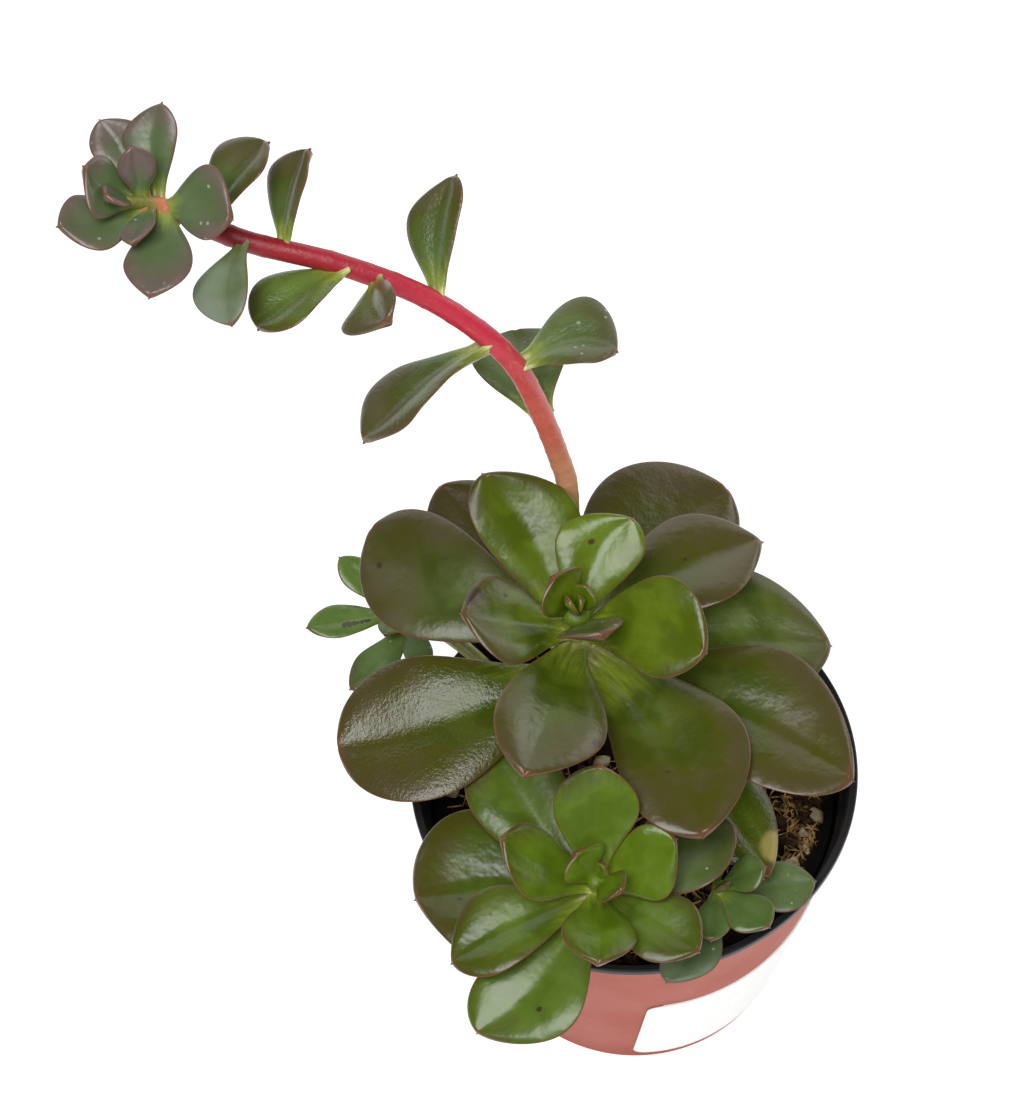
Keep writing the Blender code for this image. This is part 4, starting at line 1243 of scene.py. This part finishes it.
def scattered(random, count, clearance):
    """Even over the disc by the root of the radius; twice as many draws, less those too near a stem."""
    radius = (inner_radius(SOIL_TOP) - clearance) * np.sqrt(random.random(count * 2))
    angle = random.uniform(0, 2 * math.pi, count * 2)
    x, y = radius * np.cos(angle), radius * np.sin(angle)
    free = np.ones(len(x), bool)
    for stem_x, stem_y, stem_radius in STEMS_IN_SOIL:
        free &= np.hypot(x - stem_x, y - stem_y) > stem_radius + clearance
    return list(zip(x[free][:count], y[free][:count]))


def heaped(random, count):
    """Places in the heap, drawn from two bell curves and kept off the wall."""
    x = random.normal(HEAP[0], HEAP_SPREAD[0], count)
    y = random.normal(HEAP[1], HEAP_SPREAD[1], count)
    inside = np.hypot(x, y) < inner_radius(SOIL_TOP) - HEAP_CLEARANCE
    return list(zip(x[inside], y[inside]))


def turned_about(points, random, lean):
    """Lean points about X by a small drawn angle, then turn them about Z by any angle."""
    spin, tip = random.uniform(0, 2 * math.pi), random.normal(0, lean)
    about_z = np.array([[math.cos(spin), -math.sin(spin), 0],
                        [math.sin(spin), math.cos(spin), 0], [0, 0, 1]])
    about_x = np.array([[1, 0, 0], [0, math.cos(tip), -math.sin(tip)],
                        [0, math.sin(tip), math.cos(tip)]])
    return points @ about_x.T @ about_z.T


print("the heap is", round(SOIL_TOP), "mm up, at", HEAP)

# %% [markdown]
# ## Perlite and bark
# Perlite is a foamed grain, round and soft in outline. A bark chip is flat and has blunt corners.
# Both are the same formula with other numbers. Each has only a few dozen faces, because there are
# hundreds of them, and each kind is joined into one piece.

# %% Lumps
Lump = namedtuple("Lump", "smallest largest flat squareness")
PERLITE = Lump(1.2, 2.5, 0.8, 1.0)
BARK = Lump(0.8, 2.4, 0.4, 0.75)
LUMP_RINGS = 8
LUMP_SIDES = 11
LUMP_POLE = 0.18
LUMP_LEAN = 0.5
LUMP_SINK = 0.25
DENT = 0.16
SMALL_DENT = 0.09
PERLITE_GRAINS = 70
PERLITE_CLEARANCE = 2.5
BARK_CHIPS = 260
BARK_ON_HEAP = 25
BARK_CLEARANCE = 2.6


def lump_tubes(random, places, kind):
    """Uneven ellipsoids: rings of a sphere, scaled three ways, turned and dented by waves."""
    polar = np.linspace(LUMP_POLE, math.pi - LUMP_POLE, LUMP_RINGS)[:, None]
    angle = np.linspace(0, 2 * math.pi, LUMP_SIDES, endpoint=False)[None, :]
    tubes = []
    for place in places:
        size = random.uniform(kind.smallest, kind.largest)
        stretch = size * np.array([random.uniform(0.8, 1.25), random.uniform(0.6, 1.0),
                                   kind.flat * random.uniform(0.7, 1.2)])
        phase = random.uniform(0, 6, 3)
        dent = 1 + DENT * np.sin(2 * angle + phase[0]) * np.sin(polar * 2 + phase[1])
        dent = dent + SMALL_DENT * np.sin(5 * angle + phase[2]) * np.sin(polar) ** 2
        ball = np.stack([np.sin(polar) * np.cos(angle), np.sin(polar) * np.sin(angle),
                         np.cos(polar) * np.ones_like(angle)], axis=-1)
        ball = np.sign(ball) * np.abs(ball) ** kind.squareness * dent[..., None] * stretch
        lying = [*place, soil_height(*place) + LUMP_SINK * stretch[2]]
        tubes.append((turned_about(ball, random, LUMP_LEAN) + lying, {}))
    return tubes


random = np.random.default_rng(5)
perlite_places = scattered(random, PERLITE_GRAINS, PERLITE_CLEARANCE) + PERLITE_ON_HEAP
perlite = mesh_from_tubes("perlite", lump_tubes(random, perlite_places, PERLITE))
bark_places = scattered(random, BARK_CHIPS, BARK_CLEARANCE) + heaped(random, BARK_ON_HEAP)
bark = mesh_from_tubes("bark_chips", lump_tubes(random, bark_places, BARK))

# %% [markdown]
# ## Peat fibres
# Peat holds short dry strands, the palest thing in the soil after the perlite. Hair curves would be
# the usual way, but they are lost when a model is exported, so each strand is a thin tube of five
# sides.

# %% Fibres
FIBRE_RINGS = 8
FIBRE_SIDES = 5
FIBRE_LEAN = 0.18
FIBRE_LIFT = 0.5
FIBRE_FLATNESS = 0.6
FIBRE_COUNT = 1000
FIBRES_ON_HEAP = 190
FIBRE_CLEARANCE = 5.0


def fibre_tubes(random, places):
    """A bent path, t along, t^2 across and 1 - t^2 up, with a flat section that thins to its ends."""
    t = np.linspace(-1, 1, FIBRE_RINGS)
    angle = np.linspace(0, 2 * math.pi, FIBRE_SIDES, endpoint=False)
    ring = np.stack([np.zeros_like(angle), np.cos(angle), FIBRE_FLATNESS * np.sin(angle)], axis=-1)
    tubes = []
    for place in places:
        half = random.uniform(0.9, 3.6)
        bow, hump = random.uniform(-0.4, 0.4), random.uniform(-0.1, 0.35)
        path = half * np.stack([t, bow * t ** 2, hump * (1 - t ** 2)], axis=-1)
        girth = random.uniform(0.13, 0.36) * np.sqrt(1.02 - t ** 2)
        strand = path[:, None] + girth[:, None, None] * ring[None]
        lying = [*place, soil_height(*place) + FIBRE_LIFT]
        tubes.append((turned_about(strand, random, FIBRE_LEAN) + lying, {}))
    return tubes


fibre_places = scattered(random, FIBRE_COUNT, FIBRE_CLEARANCE) + heaped(random, FIBRES_ON_HEAP)
fibres = mesh_from_tubes("peat_fibres", fibre_tubes(random, fibre_places))
for piece in (soil, perlite, bark, fibres):
    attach(piece, "root")
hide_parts("soil")

# %% [markdown]
# ## Soil colours
# Peat, perlite, bark and fibres are each two colours in fine patches. Close to the wall all four are
# painted black, as painted shade. That could be left to the light alone, but the gap between soil
# and wall is too thin to shade as it does on the real pot.

# %% Soil materials
WALL_SHADE_BLACK = (0.003, 0.003, 0.003)
WALL_SHADE_FROM = 43.5
WALL_SHADE_TO = 47.0
Crumb = namedtuple("Crumb", "title first second scale rough depth")
CRUMBS = {
    "potting_mix": Crumb("peat", (0.003, 0.002, 0.0015), (0.016, 0.009, 0.005), 420, 0.95, 0.0006),
    "perlite": Crumb("perlite_white", (0.50, 0.42, 0.28), (0.26, 0.18, 0.09), 500, 0.85, 0.0003),
    "bark_chips": Crumb("bark_brown", (0.010, 0.006, 0.004), (0.075, 0.038, 0.017), 700, 0.8, 0.0003),
    "peat_fibres": Crumb("fibre_gold", (0.55, 0.32, 0.12), (0.025, 0.014, 0.007), 300, 0.7, 0.0001),
}


def crumb_material(kind):
    """Two colours mixed by noise, the same noise as relief, and painted shade that turns them black near
    the wall.
    """
    material, tree, shader = fresh_material(kind.title)
    place = object_place(tree)
    grain = noise(tree, place, kind.scale, 5.0, 0.65)
    colour = mixed(tree, ranged(tree, grain, 0.35, 0.68), kind.first, kind.second)
    # painted shade: everything near the pot's wall is painted black
    wall_shade = ranged(tree, from_axis(tree, place), WALL_SHADE_FROM * MM, WALL_SHADE_TO * MM, 0.0, 0.9)
    tree.links.new(mixed(tree, wall_shade, colour, WALL_SHADE_BLACK), shader.inputs["Base Color"])
    shader.inputs["Roughness"].default_value = kind.rough
    shader.inputs["Specular IOR Level"].default_value = 0.12
    bumped(tree, shader, grain, kind.depth, 0.8)
    return material


for piece in (soil, perlite, bark, fibres):
    piece.data.materials.append(crumb_material(CRUMBS[piece.name]))
print("soil finished:", ", ".join(kind.title for kind in CRUMBS.values()))

# %% [markdown]
# ## Light and floor
# The plant stands on a pale floor under four soft lamps. A bright, low wall of light behind it gives
# the leaves their broad grey sheen. A soft box in front and above shapes them, a small lamp at the
# back right lights the pot's right side, and a wide fill from the front is kept out of the
# reflections, which leaves the leaf colours deep. A sky picture could light the plant too, but lamps
# can be placed where each sheen asks for one. The floor glows a little, as a lit paper sweep does,
# and so fills the shadows from below.

# %% Stage
FLOOR_REACH = 3000.0
FLOOR_GREY = (0.35, 0.35, 0.35, 1)
WHITE = (1, 1, 1, 1)
FLOOR_GLOW = 0.82
ROOM_GLOW = 0.3


def soft_light(name, place, aim, size, power, in_gloss=True):
    """A rectangular area light at a place, facing a point; lengths are in mm and power in watts."""
    lamp = bpy.data.lights.new(name, "AREA")
    lamp.shape = "RECTANGLE"
    lamp.size = size[0] * MM
    lamp.size_y = size[1] * MM
    lamp.energy = power
    item = bpy.data.objects.new(name, lamp)
    bpy.context.scene.collection.objects.link(item)
    direction = np.array(aim, float) - np.array(place, float)
    item.location = np.array(place) * MM
    item.rotation_euler = Vector(direction).to_track_quat("-Z", "Y").to_euler()
    item.visible_glossy = in_gloss
    item.visible_camera = False


def stage_floor():
    """A wide pale plane at height 0 that also glows a little."""
    signs = np.array([(-1, -1, 0), (1, -1, 0), (1, 1, 0), (-1, 1, 0)], float)
    floor = mesh_from_arrays("floor", FLOOR_REACH * signs, [np.array([[0, 1, 2, 3]])], {})
    material, tree, shader = fresh_material("white_floor")
    shader.inputs["Base Color"].default_value = FLOOR_GREY
    shader.inputs["Roughness"].default_value = 0.9
    shader.inputs["Specular IOR Level"].default_value = 0.1
    shader.inputs["Emission Color"].default_value = WHITE
    shader.inputs["Emission Strength"].default_value = FLOOR_GLOW
    floor.data.materials.append(material)


def room_light():
    """An even white glow from all sides, kept out of the reflections."""
    world = bpy.data.worlds.new("soft_room")
    world.use_nodes = True
    world.node_tree.nodes["Background"].inputs["Color"].default_value = WHITE
    world.node_tree.nodes["Background"].inputs["Strength"].default_value = ROOM_GLOW
    world.cycles_visibility.glossy = False
    bpy.context.scene.world = world


stage_floor()
soft_light("soft_box", (-215, -300, 1090), (-20, 0, 110), (700, 620), 10.5)
soft_light("back_wall", (0, 950, 480), (-20, 10, 100), (2000, 800), 6.0)
soft_light("side_wall", (640, 460, 560), (20, 0, 100), (520, 420), 1.3)
soft_light("front_fill", (200, -900, 500), (0, 0, 60), (1200, 700), 4.0, in_gloss=False)
room_light()
bpy.context.scene.view_settings.view_transform = "Standard"
print("stage ready")
